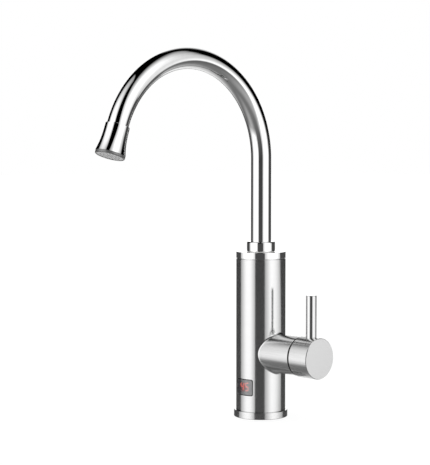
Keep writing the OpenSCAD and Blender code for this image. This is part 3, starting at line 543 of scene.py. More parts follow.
class Field:
    """A number that varies over a material, with plain arithmetic that adds Math nodes."""

    def __init__(self, tree, socket):
        self.tree, self.socket = tree, socket

    def math(self, operation, *others):
        values = [v.socket if isinstance(v, Field) else v for v in (self, *others)]
        made = add_node(self.tree, "ShaderNodeMath", dict(enumerate(values)), operation=operation)
        return Field(self.tree, made.outputs[0])

    def __add__(self, other):
        return self.math("ADD", other)

    def __sub__(self, other):
        return self.math("SUBTRACT", other)

    def __mul__(self, other):
        return self.math("MULTIPLY", other)

    def angle(self, other):
        """Angle of the vector (other, self) from its first axis, in degrees."""
        return self.math("ARCTAN2", other).math("DEGREES")

    def ramp(self, start, end, low=0.0, high=1.0, kind="SMOOTHSTEP"):
        """Soft rise from low to high as the number goes from start to end, level outside."""
        made = add_node(self.tree, "ShaderNodeMapRange",
                        {"Value": self.socket, "From Min": start, "From Max": end,
                         "To Min": low, "To Max": high},
                        interpolation_type=kind)
        return Field(self.tree, made.outputs["Result"])

    def slope(self, start, end, low, high):
        """The same rise, but straight."""
        return self.ramp(start, end, low, high, "LINEAR")

    def colours(self, stops):
        """Colour led straight from stop to stop, each a place and a colour."""
        made = add_node(self.tree, "ShaderNodeValToRGB", {"Fac": self.socket})
        dots = made.color_ramp.elements
        dots[0].position, dots[-1].position = stops[0][0], stops[-1][0]
        for spot, _ in stops[1:-1]:
            dots.new(spot)
        for dot, (_, tone) in zip(dots, stops):
            dot.color = (*tone, 1)
        return Field(self.tree, made.outputs["Color"])

    def steps(self, stops):
        """Level led straight from stop to stop, each a place and a level."""
        return self.colours([(spot, (level,) * 3) for spot, level in stops])


class Finish:
    """A procedural material: a Principled shader and the textures that feed it."""

    def __init__(self, name, **sockets):
        """Sockets of the shader are written with underscores."""
        material = bpy.data.materials.new("tap_" + name)
        material.use_nodes = True
        self.tree = material.node_tree
        self.shader = self.tree.nodes["Principled BSDF"]
        for key, value in sockets.items():
            self.shader.inputs[key.replace("_", " ")].default_value = value

    def lead(self, name, source):
        """Lets a socket's value come from another node."""
        self.tree.links.new(source, self.shader.inputs[name])

    def place(self):
        """The object's own coordinates."""
        return add_node(self.tree, "ShaderNodeTexCoord").outputs["Object"]

    def noise(self, scale, detail, stretch):
        """Noise on the object's own coordinates, stretched along its axes."""
        mapped = add_node(self.tree, "ShaderNodeMapping",
                          {"Vector": self.place(), "Scale": stretch}).outputs["Vector"]
        made = add_node(self.tree, "ShaderNodeTexNoise",
                        {"Vector": mapped, "Scale": scale, "Detail": detail})
        return Field(self.tree, made.outputs["Fac"])


def shade(base, share):
    """A colour made darker or lighter by a share."""
    return [min(1.0, c * share) for c in base[:3]]


def finish_of(name):
    return bpy.data.materials["tap_" + name]


def grained(name, base, roughness, spread, scale, detail=3.0, shades=(0.9, 1.1),
            stretch=(1, 1, 1), relief=0.0, **sockets):
    """A finish whose fine grain varies its shade, its roughness and its relief.

    Noise between 0.3 and 0.7 leads the colour from the first to the second share of the base,
    and the roughness over its spread to both sides. The relief is in millimetres.
    """
    made = Finish(name, **sockets)
    grain = made.noise(scale, detail, stretch)
    tones = [(spot, shade(base, share)) for spot, share in zip(GRAIN_RANGE, shades)]
    made.lead("Base Color", grain.colours(tones).socket)
    rough = grain.slope(*GRAIN_RANGE, roughness - spread, roughness + spread)
    made.lead("Roughness", rough.socket)
    if relief:
        bump = add_node(made.tree, "ShaderNodeBump",
                        {"Height": grain.socket, "Strength": 1.0, "Distance": relief * MM})
        made.lead("Normal", bump.outputs["Normal"])
    return made


# Metallic below 1 is haze: the rest is light that fine brush lines scatter all ways.
GRAIN_RANGE = (0.3, 0.7)
RINGS_ROUND_BODY = (1, 1, 40)
STREAKS_ALONG_VALVE = (0.04, 1, 1)
METAL = dict(spread=0.06, scale=1500.0, detail=4.0, shades=(0.97, 1.03), Metallic=1.0)
RUBBER = dict(roughness=0.7, spread=0.1, scale=2500.0, shades=(0.85, 1.15), relief=0.02,
              Sheen_Weight=0.02, Specular_IOR_Level=0.08)
PLASTIC = dict(roughness=0.35, spread=0.05, scale=900.0, detail=2.0, shades=(0.96, 1.04),
               relief=0.01, IOR=1.5)
STONE = dict(spread=0.05, scale=4000.0, detail=6.0, shades=(0.9, 1.05))
FINISHES = {
    "brass": dict(METAL, roughness=0.28),
    "screw_steel": dict(METAL, roughness=0.3),
    # Painted light: the screen's base is made lighter so that its downward face, which gets little
    # light from below, still looks light grey.
    "screen_steel": dict(METAL, base=(0.78, 0.78, 0.78), roughness=0.3, spread=0.05, Metallic=0.75),
    "outlet_grey": dict(METAL, base=(0.26, 0.26, 0.26), roughness=0.28, spread=0.04,
                        Metallic=0.45),
    "black_rubber": RUBBER,
    "lead_red": RUBBER,
    "black_plastic": PLASTIC,
    "white_plastic": PLASTIC,
    "board_green": dict(PLASTIC, roughness=0.3),
    "relay_blue": dict(PLASTIC, roughness=0.25),
    "ceramic_white": dict(STONE, roughness=0.25),
    "magnet_grey": dict(STONE, roughness=0.6),
    "reed_glass": dict(roughness=0.035, spread=0.015, scale=600.0, shades=(0.98, 1.0), IOR=1.5,
                       Alpha=COLOUR_OF["reed_glass"][3]),
}
# Painted glow: the reddish specular tint of the lens near the digits, and the distances from their
# middle over which it fades to white.
PAINTED_GLOW_TINT = (1.0, 0.5, 0.5)
PAINTED_GLOW_REACH = (3.0 * MM, 6.5 * MM)


def make_steels(finish):
    """Steel for the body, with rings, for the valve, brushed along it, the lever and the spout."""
    satin, bright = tuple(finish.satin_colour), tuple(finish.bright_colour)
    grained("satin_steel", satin,
            **dict(METAL, roughness=finish.satin_roughness, spread=0.03, scale=60.0,
                   stretch=RINGS_ROUND_BODY, relief=0.0004, Metallic=0.97))
    grained("satin_steel_level", shade(satin, 1.16),
            **dict(METAL, roughness=finish.level_roughness, spread=0.04, scale=700.0,
                   shades=(0.95, 1.05), stretch=STREAKS_ALONG_VALVE, relief=0.002, Metallic=0.97))
    grained("lever_steel", satin,
            **dict(METAL, roughness=finish.lever_roughness, spread=0.02, scale=400.0))
    grained("bright_steel", bright,
            **dict(METAL, roughness=finish.bright_roughness, spread=0.01, scale=200.0))


def make_lit_display(digit_colour, digit_shift):
    """Red digits that glow, and the smoked lens, a half mirror that shows the room and the digits.

    Round the digits' middle the lens's reflection is tinted reddish by its specular tint: a painted
    glow of the digits' light, which fades to white over a few millimetres.
    """
    grained("led_red", digit_colour, 0.35, 0.05, 700.0,
            Emission_Color=(*digit_colour, 1), Emission_Strength=5.0)
    lens = grained("smoked_lens", COLOUR_OF["smoked_lens"], 0.07, 0.02, 300.0, IOR=2.95,
                   Alpha=0.66)
    middle = (-digit_shift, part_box("display_window")[0].y, middle_of("display_window"))
    # Painted glow: the lens's reflection is tinted reddish near the digits' middle.
    reach = add_node(lens.tree, "ShaderNodeVectorMath", {0: lens.place(), 1: middle},
                     operation="DISTANCE")
    spread = Field(lens.tree, reach.outputs["Value"]).ramp(*PAINTED_GLOW_REACH)
    lens.lead("Specular Tint", spread.colours([(0, PAINTED_GLOW_TINT), (1, (1, 1, 1))]).socket)


class TAP_OT_finishes(bpy.types.Operator):
    """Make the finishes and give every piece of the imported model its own"""

    bl_idname = "tap.finishes"
    bl_label = "Finishes"

    def execute(self, context):
        finish, sizes = context.scene.tap_finish, context.scene.tap_sizes
        make_steels(finish)
        make_lit_display(tuple(finish.digit_colour), sizes.digit_shift)
        for name, values in FINISHES.items():
            grained(name, **{"base": COLOUR_OF[name], **values})
        for name, node in frame["nodes"].items():
            node.data.materials.clear()
            node.data.materials.append(finish_of(SLOT_OF[name]))
        return {"FINISHED"}


class TAP_OT_base(bpy.types.Operator):
    """Make the base flange, turned from one ring with a groove for its gasket"""

    bl_idname = "tap.base"
    bl_label = "Base flange"

    def execute(self, context):
        sizes = context.scene.tap_sizes
        shelf, groove = 1.5 * MM, 2.625 * MM
        rim, high = radius_of("base_flange"), top_of("base_flange")
        bore, web = radius_of("top_cap") - sizes.wall - shelf, bottom_of("body_shell")
        seat = radius_of("body_shell") + FIT
        groove_out, groove_top = radius_of("deck_gasket") + FIT, top_of("deck_gasket")
        groove_in = groove_out - groove
        shape = outline((bore, 0), (groove_in, 0), (groove_in, groove_top),
                        (groove_out, groove_top), (groove_out, 0), (rim, 0, sizes.flange_foot),
                        (rim, high, sizes.flange_round), (seat, high, sizes.edge_break),
                        (seat, web), (bore, web))
        piece("flange_skin", revolve(shape), "root", "satin_steel", "base_flange")
        return {"FINISHED"}


def window_opening(sizes):
    """The display's opening in the body's front, read from the seal that fills it."""
    seal = "window_seal_frame"
    half_width, half_height = radius_of(seal) + PLAY, half_of(seal) + PLAY
    return Opening(-math.pi / 2, middle_of(seal), half_width, half_height,
                   window_reach(half_width, half_height, sizes.window_corner), sizes.edge_break)


class TAP_OT_body(bpy.types.Operator):
    """Make the body tube, with the display's opening and the branch's hole"""

    bl_idname = "tap.body"
    bl_label = "Body tube"

    def execute(self, context):
        sizes = context.scene.tap_sizes
        outer = radius_of("top_cap")
        inner = outer - sizes.wall
        low, high = bottom_of("body_shell"), top_of("body_shell")
        edge = sizes.edge_break
        hole = Opening(0.0, valve_height(), sizes.branch_bore, sizes.branch_bore,
                       circle_reach(sizes.branch_bore), edge)
        patches = opened_wall(outer, inner, low, high - edge, low, high,
                              [window_opening(sizes), hole], -1.5 * math.pi)
        patches += revolve_to([((outer, high - edge), (outer - edge, high)),
                               ((outer - edge, high), (inner, high)),
                               ((inner, low), (outer, low))], patches[0])
        piece("body_skin", patches, "root", "satin_steel", "body_shell")
        return {"FINISHED"}


def flat_panel(depth, centre):
    """Turns (across, up) into points and normals of a flat face towards the front."""

    def face(grid):
        points = np.stack([grid[..., 0], np.full(grid.shape[:-1], -depth), centre + grid[..., 1]],
                          axis=-1)
        return points, np.broadcast_to([0.0, -1.0, 0.0], points.shape)

    return face


def curved_panel(radius, centre):
    """Turns (across, up) into points and normals of the body's own curve, towards the front."""

    def face(grid):
        points = on_wall(radius, 0.0, grid[..., 0], centre + grid[..., 1])
        points = np.stack([points[..., 1], -points[..., 0], points[..., 2]], axis=-1)
        normals = points * [1, 1, 0] / radius
        return points, normals

    return face


def window_loop(half_width, half_height, corner, count=240):
    """Closed loop of a rounded rectangle, from its centre outwards in even directions."""
    turn = full_turn(count)
    way = unit(np.stack([half_width * np.cos(turn), half_height * np.sin(turn)], axis=1))
    return way * window_reach(half_width, half_height, corner)(way)[:, None]


SEGMENT_SPOTS = {"a": (0, 1, 0), "b": (1, 0.5, 1), "c": (1, -0.5, 1), "d": (0, -1, 0),
                 "e": (-1, -0.5, 1), "f": (-1, 0.5, 1), "g": (0, 0, 0)}
DIGIT_SEGMENTS = {"4": "bcfg", "5": "acdfg"}
READOUT = "45"
DIGIT_SLANT = 0.12
DIGIT_GAP = 1.6 * MM
BLOCK_CORNER = 0.4 * MM
BAR = 0.62 * MM
BAR_GAP = 0.12 * MM
BAR_PROUD = 0.12 * MM
BAR_SUNK = 0.1 * MM


def segment_loop(half_length, half_width, upright):
    """Six-sided outline of one segment, level or upright, pointed at both ends."""
    tip, shoulder = half_length, half_length - half_width
    loop = np.array([(tip, 0), (shoulder, half_width), (-shoulder, half_width), (-tip, 0),
                     (-shoulder, -half_width), (shoulder, -half_width), (tip, 0)])
    return loop[:, ::-1] * [1, -1] if upright else loop


class TAP_OT_display(bpy.types.Operator):
    """Make the display: seal, smoked lens, digit block and lit digits"""

    bl_idname = "tap.display"
    bl_label = "Display"

    def execute(self, context):
        sizes = context.scene.tap_sizes
        opening = window_opening(sizes)
        outer, seal = radius_of("top_cap"), sizes.window_seal
        front, recessed, back = (curved_panel(outer - depth, opening.centre)
                                 for depth in (0, FIT, sizes.wall))
        rim, pane, lens = (
            window_loop(opening.half_width - PLAY - inset, opening.half_height - PLAY - inset,
                        sizes.window_corner - min(inset, seal))
            for inset in (0, seal, seal + PLAY))
        piece("window_seal", hoop(rim, pane, recessed, back), "root", "black_rubber",
              "window_seal_frame")
        piece("window_lens", plate(lens, front, back), "root", "smoked_lens", "display_window")
        self.make_readout(sizes, opening.centre)
        return {"FINISHED"}

    def make_readout(self, sizes, centre):
        """Digit block with a dark face, and the lit segments that stand a little proud of it."""
        low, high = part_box("display_digits")
        face = window_loop(high.x, half_of("display_digits"), BLOCK_CORNER)
        block = plate(face, flat_panel(-low.y, centre), flat_panel(-high.y, centre), 2)
        piece("digit_block", block, "root", "black_plastic", "display_digits")
        half_width, half_height = sizes.digit_width / 2 - BAR, sizes.digit_height / 2 - BAR
        pitch = sizes.digit_width + DIGIT_GAP
        lit, behind = (flat_panel(-low.y + step, centre) for step in (BAR_PROUD, -BAR_SUNK))
        patches = []
        for place, digit in enumerate(READOUT):
            for name in DIGIT_SEGMENTS[digit]:
                right, up, upright = SEGMENT_SPOTS[name]
                reach = half_height / 2 if upright else half_width
                loop = segment_loop(reach - BAR_GAP, BAR, upright)
                loop = loop + [right * half_width, up * half_height]
                loop[:, 0] += DIGIT_SLANT * loop[:, 1] + (place - 0.5) * pitch - sizes.digit_shift
                patches += segment_prism(loop, lit, behind)
        piece("lit_segments", patches, "root", "led_red")


def segment_prism(loop, near, far):
    """Patches of a small flat prism, its faces drawn in to the outline's middle."""
    middle = loop[:-1].mean(axis=0)
    grid = np.stack([np.broadcast_to(middle, loop.shape), loop])
    rim = np.stack([near(loop)[0], far(loop)[0]])
    sides = [Patch(rim[:, i:i + 2], np.broadcast_to(
        unit(np.cross(rim[1, i] - rim[0, i], rim[0, i + 1] - rim[0, i])), (2, 2, 3)))
        for i in range(len(loop) - 1)]
    return [Patch(*near(grid)), Patch(*far(grid))] + sides


def valve_place():
    """Local frame whose Z axis is the valve's axis, away from the body."""
    return Matrix.Translation((0, 0, valve_height())) @ Matrix.Rotation(math.pi / 2, 4, "Y")


class TAP_OT_branch(bpy.types.Operator):
    """Make the side branch, blended into the body by a fillet, and the black ring at its mouth"""

    bl_idname = "tap.branch"
    bl_label = "Side branch"

    def execute(self, context):
        sizes = context.scene.tap_sizes
        patches = branch_patches(radius_of("top_cap"), half_of("branch_sleeve"),
                                 sizes.branch_fillet, sizes.branch_bore,
                                 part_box("branch_sleeve")[1].x, sizes.edge_break)
        piece("branch_skin", moved(patches, Matrix.Translation((0, 0, valve_height()))), "root",
              "satin_steel", "branch_sleeve", finish="satin_steel_level")
        low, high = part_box("knob_seal")
        depth, edge = 2.4 * MM, 0.1 * MM
        ring = half_of("knob_seal")
        shape = outline((ring - depth, low.x), (ring, low.x, edge), (ring, high.x, edge),
                        (ring - depth, high.x))
        piece("branch_seal", revolve(shape, valve_place()), "root", "black_rubber", "knob_seal")
        return {"FINISHED"}


def branch_patches(body, branch, fillet, bore, mouth, edge):
    """Patches of the side branch, round its axis along X, with the body's axis upright at x = 0.

    A ball of the fillet's radius rolls in the corner between the two tubes. Its centre lies a
    fillet's radius outside both, and the fillet is the arc of the ball between its two points of
    contact: one straight in towards the branch's axis, one towards the body's axis.
    """
    spin = wheel(full_turn(ROUND_STEPS), axis=0)
    centre = (branch + fillet) * spin
    centre[:, 0] = np.sqrt((body + fillet) ** 2 - centre[:, 1] ** 2)
    to_branch = -spin
    to_body = -unit(centre * [1, 1, 0])
    swing = np.arccos(np.sum(to_branch * to_body, axis=1))[:, None]
    share = np.linspace(0, 1, 2 * EDGE_STEPS + 1)[:, None, None]
    ways = ((np.sin((1 - share) * swing) * to_branch + np.sin(share * swing) * to_body)
            / np.sin(swing))
    blend = Patch(centre + fillet * ways, -ways)

    def ring(radius, x=None):
        """Ring round the branch at a given x, or else where it meets the body."""
        points = radius * spin
        points[:, 0] = np.sqrt(body ** 2 - points[:, 1] ** 2) if x is None else x
        return points

    shell = np.stack([blend.points[0], ring(branch, mouth - edge)])
    level = np.broadcast_to([1.0, 0.0, 0.0], shell.shape)
    break_normals = np.broadcast_to(unit(spin + [1, 0, 0]), shell.shape)
    foot = np.stack([blend.points[-1], (blend.points[-1] + ring(bore)) / 2, ring(bore)])
    foot[1, :, 0] = np.sqrt(body ** 2 - foot[1, :, 1] ** 2)
    return [
        blend,
        Patch(shell, np.stack([spin, spin])),
        Patch(np.stack([ring(branch, mouth - edge), ring(branch - edge, mouth)]), break_normals),
        Patch(np.stack([ring(branch - edge, mouth), ring(bore, mouth)]), level),
        Patch(np.stack([ring(bore, mouth), ring(bore)]), np.stack([-spin, -spin])),
        Patch(foot, -foot * [1, 1, 0] / body),
    ]


class TAP_OT_knob(bpy.types.Operator):
    """Make the knob, a cup with holes for the lever and its grub screw, and the lever pin"""

    bl_idname = "tap.knob"
    bl_label = "Knob and lever"

    def execute(self, context):
        sizes = context.scene.tap_sizes
        low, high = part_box("handle_knob")
        outer = half_of("handle_knob")
        inner = outer - sizes.knob_wall
        start, end, edge = low.x, high.x, sizes.knob_edge
        pin_low, pin_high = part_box("lever_pin")
        lever, lever_x = (pin_high.y - pin_low.y) / 2, (pin_low.x + pin_high.x) / 2
        screw_low, screw_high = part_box("knob_grub_screw")
        screw = (screw_high.y - screw_low.y) / 2
        block = lever + sizes.edge_break
        holes = [Opening(facing, lever_x, block, block, circle_reach(radius + PLAY),
                         sizes.edge_break)
                 for facing, radius in ((0.0, screw), (math.pi, lever))]
        floor = end - sizes.knob_floor
        patches = opened_wall(outer, inner, start + edge, end - edge, start, floor, holes,
                              -math.pi / 2)
        patches += revolve_to([((inner, start), (outer - edge, start)),
                               ((outer - edge, start), (outer, start + edge)),
                               ((outer, end - edge), (outer - edge, end)),
                               ((outer - edge, end), (0.0, end)),
                               ((0.0, floor), (inner, floor))], patches[0])
        piece("knob_skin", moved(patches, valve_place()), "handle", "satin_steel", "handle_knob",
              finish="satin_steel_level")
        foot, tip, cut = pin_low.z, pin_high.z, sizes.lever_chamfer
        shape = outline((0, foot), (lever, foot), (lever, tip - cut), (lever - cut, tip), (0, tip))
        piece("lever_skin", revolve(shape[:-1], Matrix.Translation((lever_x, 0, 0))), "handle",
              "bright_steel", "lever_pin", finish="lever_steel")
        return {"FINISHED"}


class TAP_OT_head(bpy.types.Operator):
    """Make the cap and the collar nut"""

    bl_idname = "tap.head"
    bl_label = "Cap and collar"

    def execute(self, context):
        sizes = context.scene.tap_sizes
        skirt_wall, collar_wall, lip_gap, lip_edge = 2.5 * MM, 2.4 * MM, 0.3 * MM, 0.2 * MM
        rim, high, low = radius_of("top_cap"), top_of("top_cap"), top_of("cap_ring")
        skirt, skirt_low = rim - sizes.wall - FIT, bottom_of("top_cap")
        skirt_in, bore = skirt - skirt_wall, radius_of("collar_nut") - collar_wall
        shape = outline((bore, low), (skirt_in, low), (skirt_in, skirt_low), (skirt, skirt_low),
                        (skirt, low), (rim, low, sizes.edge_break), (rim, high, sizes.cap_round),
                        (bore, high))
        piece("cap_skin", revolve(shape), "root", "satin_steel", "top_cap", finish="bright_steel")

        nut, lip = radius_of("collar_nut"), radius_of("spout_tube") + lip_gap
        nut_low, nut_high = bottom_of("collar_nut"), top_of("collar_nut")
        shape = outline((bore, nut_low), (nut, nut_low, sizes.collar_foot),
                        (nut, nut_high, sizes.collar_round), (lip, nut_high, lip_edge),
                        (lip, nut_high - sizes.collar_lip), (bore, nut_high - sizes.collar_lip))
        piece("collar_skin", revolve(shape), "root", "bright_steel", "collar_nut")
        return {"FINISHED"}


def bend_centre(sizes):
    """Centre of the gooseneck's bend."""
    tube = radius_of("spout_tube")
    return Vector((0, -sizes.bend_radius, top_of("spout_tube") - sizes.bend_radius - tube))


def nozzle_place(sizes):
    """Local frame at the nozzle's seam, with its Z axis along the outflow."""
    return (Matrix.Translation(bend_centre(sizes)) @ Matrix.Rotation(sizes.bend_angle, 4, "X")
            @ Matrix.Translation((0, sizes.bend_radius, 0)))


class TAP_OT_spout(bpy.types.Operator):
    """Make the spout tube: a riser, one round bend and the end inside the nozzle"""

    bl_idname = "tap.spout"
    bl_label = "Spout tube"

    def execute(self, context):
        sizes = context.scene.tap_sizes
        outer = radius_of("spout_tube")
        inner = outer - sizes.tube_wall
        middle = np.array(bend_centre(sizes))
        out = wheel(np.linspace(0, sizes.bend_angle, BEND_STEPS + 1), axis=0)
        centres = middle + sizes.bend_radius * out
        flow = np.array([0, -math.sin(sizes.bend_angle), math.cos(sizes.bend_angle)])
        centres = np.concatenate([[[0, 0, bottom_of("spout_tube")]], centres,
                                  [centres[-1] + TUBE_STUB * flow]])
        out = np.concatenate([out[:1], out, out[-1:]])
        around = full_turn(TUBE_STEPS)
        radii = (np.cos(around)[None, :, None] * [1.0, 0.0, 0.0]
                 + np.sin(around)[None, :, None] * out[:, None])
        last = len(centres) - 1
        coarse = np.unique(np.append(np.arange(1, last, 4), [0, last - 1, last]))
        skins = [Patch(centres[:, None] + outer * radii, radii),
                 Patch((centres[:, None] + inner * radii)[coarse], -radii[coarse])]
        ends = []
        for end, way in ((0, [0, 0, -1.0]), (-1, flow)):
            ring = np.stack([skin.points[end] for skin in skins])
            ends.append(Patch(ring, np.broadcast_to(way, ring.shape)))
        piece("spout_skin", skins + ends, "spout", "bright_steel", "spout_tube")
        return {"FINISHED"}


class TAP_OT_nozzle(bpy.types.Operator):
    """Make the flared nozzle shell and the outlet ring"""

    bl_idname = "tap.nozzle"
    bl_label = "Nozzle"

    def execute(self, context):
        sizes = context.scene.tap_sizes
        place = nozzle_place(sizes)
        tube, bore, end = radius_of("spout_tube") + PLAY, sizes.nozzle_bore, sizes.nozzle_length
        step, belly = 0.25 * MM, 0.2 * MM
        rows, flare_power = 41, 2.6
        share = np.linspace(0, 1, rows)
        flare = np.stack([sizes.nozzle_top + belly * share
                          + (sizes.nozzle_rim - sizes.nozzle_top - belly) * share ** flare_power,
                          step + (end - step) * share], axis=1)
        shape = outline((tube, TUBE_STUB), (tube, 0), (sizes.nozzle_seam, 0),
                        (sizes.nozzle_top, step), (sizes.nozzle_rim, end), (bore, end),
                        (bore, TUBE_STUB), free={3: flare})
        piece("nozzle_skin", revolve(shape, place), "spout", "bright_steel", "nozzle_shell")

        lip, reach = sizes.outlet_radius, end + sizes.outlet_length
        inside, seat, inlet, depth = 8.9 * MM, 12.85 * MM, 16.8 * MM, 1.5 * MM
        lip_round, seat_round = 0.8 * MM, 0.1 * MM
        thread, recess = bore - FIT, reach - depth
        shape = outline((inside, inlet), (thread, inlet), (thread, end), (lip, end),
                        (lip, reach, lip_round), (seat, reach, seat_round), (seat, recess),
                        (inside, recess))
        piece("outlet_skin", revolve(shape, place), "spout", "outlet_grey", "outlet_ring")
        return {"FINISHED"}


def wound_wire(coil, wire, turns, low, high, steps=48, sides=12):
    """Patches of a wire wound round the Z axis, from one height of its middle to another.

    Its middle line is (coil * cos t, coil * sin t, height), where the height rises evenly with t.
    Each ring round it lies in the plane of the line's radius and the cross of that with its way.
    """
    t = np.linspace(0, 2 * math.pi * turns, turns * steps + 1)
    radius = wheel(t)
    middle = coil * radius
    middle[:, 2] = np.linspace(low, high, len(t))
    way = coil * wheel(t + math.pi / 2)
    way[:, 2] = (high - low) / (2 * math.pi * turns)
    way = unit(way)
    third = np.cross(way, radius)
    around = full_turn(sides)[None, :, None]
    normals = np.cos(around) * radius[:, None] + np.sin(around) * third[:, None]
    points = middle[:, None] + wire * normals
    patches = [Patch(points, normals)]
    for end, side in ((0, -1), (-1, 1)):
        disc = np.stack([points[end], np.broadcast_to(middle[end], points[end].shape)])
        patches.append(Patch(disc, np.broadcast_to(side * way[end], disc.shape)))
    return patches


class TAP_OT_spring(bpy.types.Operator):
    """Make the float's spring"""

    bl_idname = "tap.spring"
    bl_label = "Float spring"

    def execute(self, context):
        sizes = context.scene.tap_sizes
        low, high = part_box("float_spring")
        wire = sizes.spring_wire / 2
        coil = high.x - wire
        patches = wound_wire(coil, wire, sizes.spring_turns, low.z + wire, high.z - wire)
        made = piece("spring_wire", patches, "root", SLOT_OF["float_spring"], "float_spring")
        lift = next(j for j in frame["record"]["behaviour"]["joints"] if j["name"] == "float_lift")
        tall = high.z - low.z
        (tall - lift["range_m"][1]) / tall
        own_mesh(made)
        return {"FINISHED"}


def add_camera(studio):
    """Camera at the photograph's viewing angle: round the body's axis, then turned and tilted."""
    camera = bpy.data.objects.new("camera", bpy.data.cameras.new("camera"))
    camera.data.lens = studio.lens
    camera.data.sensor_width = 36.0
    camera.data.clip_end = 50.0
    camera.matrix_world = (
        Matrix.Rotation(studio.camera_azimuth, 4, "Z")
        @ Matrix.Translation((0, -studio.camera_distance, studio.camera_height))
        @ Matrix.Rotation(studio.camera_turn, 4, "Z")
        @ Matrix.Rotation(math.pi / 2 - studio.camera_tilt, 4, "X"))
    bpy.context.scene.collection.objects.link(camera)
    bpy.context.scene.camera = camera


def seen_directly(tree):
    """1 for camera, glossy and transmission rays, 0 for the rays that light matt surfaces."""
    path = add_node(tree, "ShaderNodeLightPath")
    camera, glossy, through = (
        Field(tree, path.outputs[name])
        for name in ("Is Camera Ray", "Is Glossy Ray", "Is Transmission Ray"))
    return camera.math("MAXIMUM", glossy).math("MAXIMUM", through).socket


# Soft boxes seen from the tap, in degrees: the two sides at level, where they stand high up, the
# light from side to side, the lower edge at both sides and how soft it is, the height where the
# light begins to fall off, the share left at the top, the top and the way that the box faces.
SoftBox = namedtuple("SoftBox", "left right left_top right_high right_wide right_top across "
                                "low low_far low_soft fade last top facing")
LEFT_BOX = SoftBox(
    left=-108, right=-27, left_top=-128, right_high=-27, right_wide=-30, right_top=-38,
    across=((0, 0.28), (0.37, 0.9), (0.49, 1), (0.67, 1), (0.77, 0.91), (1, 0.42)),
    low=-25, low_far=-25, low_soft=9, fade=32, last=0.2, top=72.6, facing=-64)
RIGHT_BOX = SoftBox(
    left=18.5, right=98, left_top=3, right_high=104, right_wide=117, right_top=152,
    across=((0, 0.31), (0.3, 0.92), (0.39, 1), (0.55, 0.95), (0.73, 0.79), (1, 0.36)),
    low=-20.5, low_far=-14.5, low_soft=6, fade=38, last=0.05, top=85, facing=75)
# How the right box's light goes on from its near side to its far side, above level.
FAR_SHADE = ((0, 1), (0.55, 1), (0.77, 0.74), (0.86, 0.69), (0.92, 0.61), (0.965, 0.32), (1, 0))
FOOT_SPREAD = 12
BOX_LIGHT = 1.5
SIDE_SOFT = 1.5
TOP_SOFT = 1
LOW_SHARE = 0.84
# Faint light of the dark walls: the heights between which it fades, and its strength.
WALL_LIGHTS = ((-42, 0, 0.12), (0, 9, 0.055))
# Lights behind the tap: the middle, the half widths where each is whole and where it ends, the
# heights where it begins, is whole, fades and ends, and its strength.
BACK_LIGHTS = ((0, 5, 9, -1, 1, 9, 13, 1.6),
               (-6, 13, 19, 11, 15, 25, 48, 0.65),
               (-8, 14, 30, -24, -20, -14, -11, 0.55))
# Glows of the floor, two in front and one behind: the middle, the same two half widths, strength.
FLOOR_GLOWS = ((-64, 0, 48, 0.38), (43, 0, 44, 0.32), (-8, 8, 75, 0.85))


def box_light(box, spread, ways):
    """Light of a flat soft box, seen by direction, and the share of its width.

    Its sides are sharp. The left one moves outwards from 25 degrees up to 65, the right one in
    three steps, and by the spread just below level. The list of (share of the width, light) tells
    how the light varies from side to side. It loses a sixth towards the lower edge, which moves
    evenly from one side to the other, and falls off straight from the fade upwards. The top edge
    is level on the flat box, so it sinks towards both sides.
    """
    x, y, z, across, up = ways
    left = up.slope(25, 65, box.left, box.left_top)
    right = (up.slope(0, 8, box.right, box.right_high)
             + up.slope(35, 50, 0, box.right_wide - box.right_high)
             + up.slope(50, 65, 0, box.right_top - box.right_wide) + up.slope(-7, -3, spread, 0))
    share = (across - left).math("DIVIDE", right - left)
    inside = ((across - left).ramp(-SIDE_SOFT, SIDE_SOFT)
              * (across - right).ramp(-SIDE_SOFT, SIDE_SOFT, 1, 0))
    low = share.slope(0.35, 0.8, box.low, box.low_far)
    facing = math.radians(box.facing)
    rise = z.angle(x * math.cos(facing) + y * math.sin(facing))
    tall = ((up - low).ramp(-box.low_soft, box.low_soft) * up.slope(-20, -4, LOW_SHARE, 1)
            * up.slope(box.fade, box.top, 1, box.last)
            * rise.ramp(box.top - TOP_SOFT, box.top + TOP_SOFT, 1, 0))
    return inside * share.steps(box.across) * tall, share


def studio_light(tree, turn):
    """Light of the studio's walls by direction: dark, with a soft box on each side.

    Directions are degrees: across from the camera's side of the room, positive to its right, and
    up from level. Behind the tap stand a bright light at level, a weaker one above it and one at
    the deck. Under the boxes the floor takes a glow that fades towards straight down.
    """
    place = add_node(tree, "ShaderNodeTexCoord").outputs["Object"]
    mapped = add_node(tree, "ShaderNodeMapping", {"Vector": place, "Rotation": (0, 0, turn)})
    axes = add_node(tree, "ShaderNodeSeparateXYZ", {0: mapped.outputs["Vector"]})
    x, y, z = (Field(tree, socket) for socket in axes.outputs)
    across, behind = y.angle(x), (y * -1).angle(x * -1)
    up = z.angle((x * x + y * y).math("SQRT"))
    ways = x, y, z, across, up
    left_light, _ = box_light(LEFT_BOX, 0, ways)
    right_light, share = box_light(RIGHT_BOX, FOOT_SPREAD, ways)
    shaded = up.ramp(0, 8) * (share.steps(FAR_SHADE) - 1) + 1
    light = (left_light + right_light * shaded) * BOX_LIGHT
    for start, end, strength in WALL_LIGHTS:
        light += up.slope(start, end, strength, 0)
    for middle, whole, gone, start, full, fade, end, strength in BACK_LIGHTS:
        beside = (behind - middle).math("ABSOLUTE")
        light += (beside.ramp(whole, gone, 1, 0) * up.ramp(start, full)
                  * up.ramp(fade, end, 1, 0) * strength)
    below = up.slope(-78, -21, 0, 1) * up.ramp(-23, -19, 1, 0)
    for way, (middle, whole, gone, strength) in zip((across, across, behind), FLOOR_GLOWS):
        light += below * (way - middle).math("ABSOLUTE").ramp(whole, gone, strength, 0)
    return light.socket


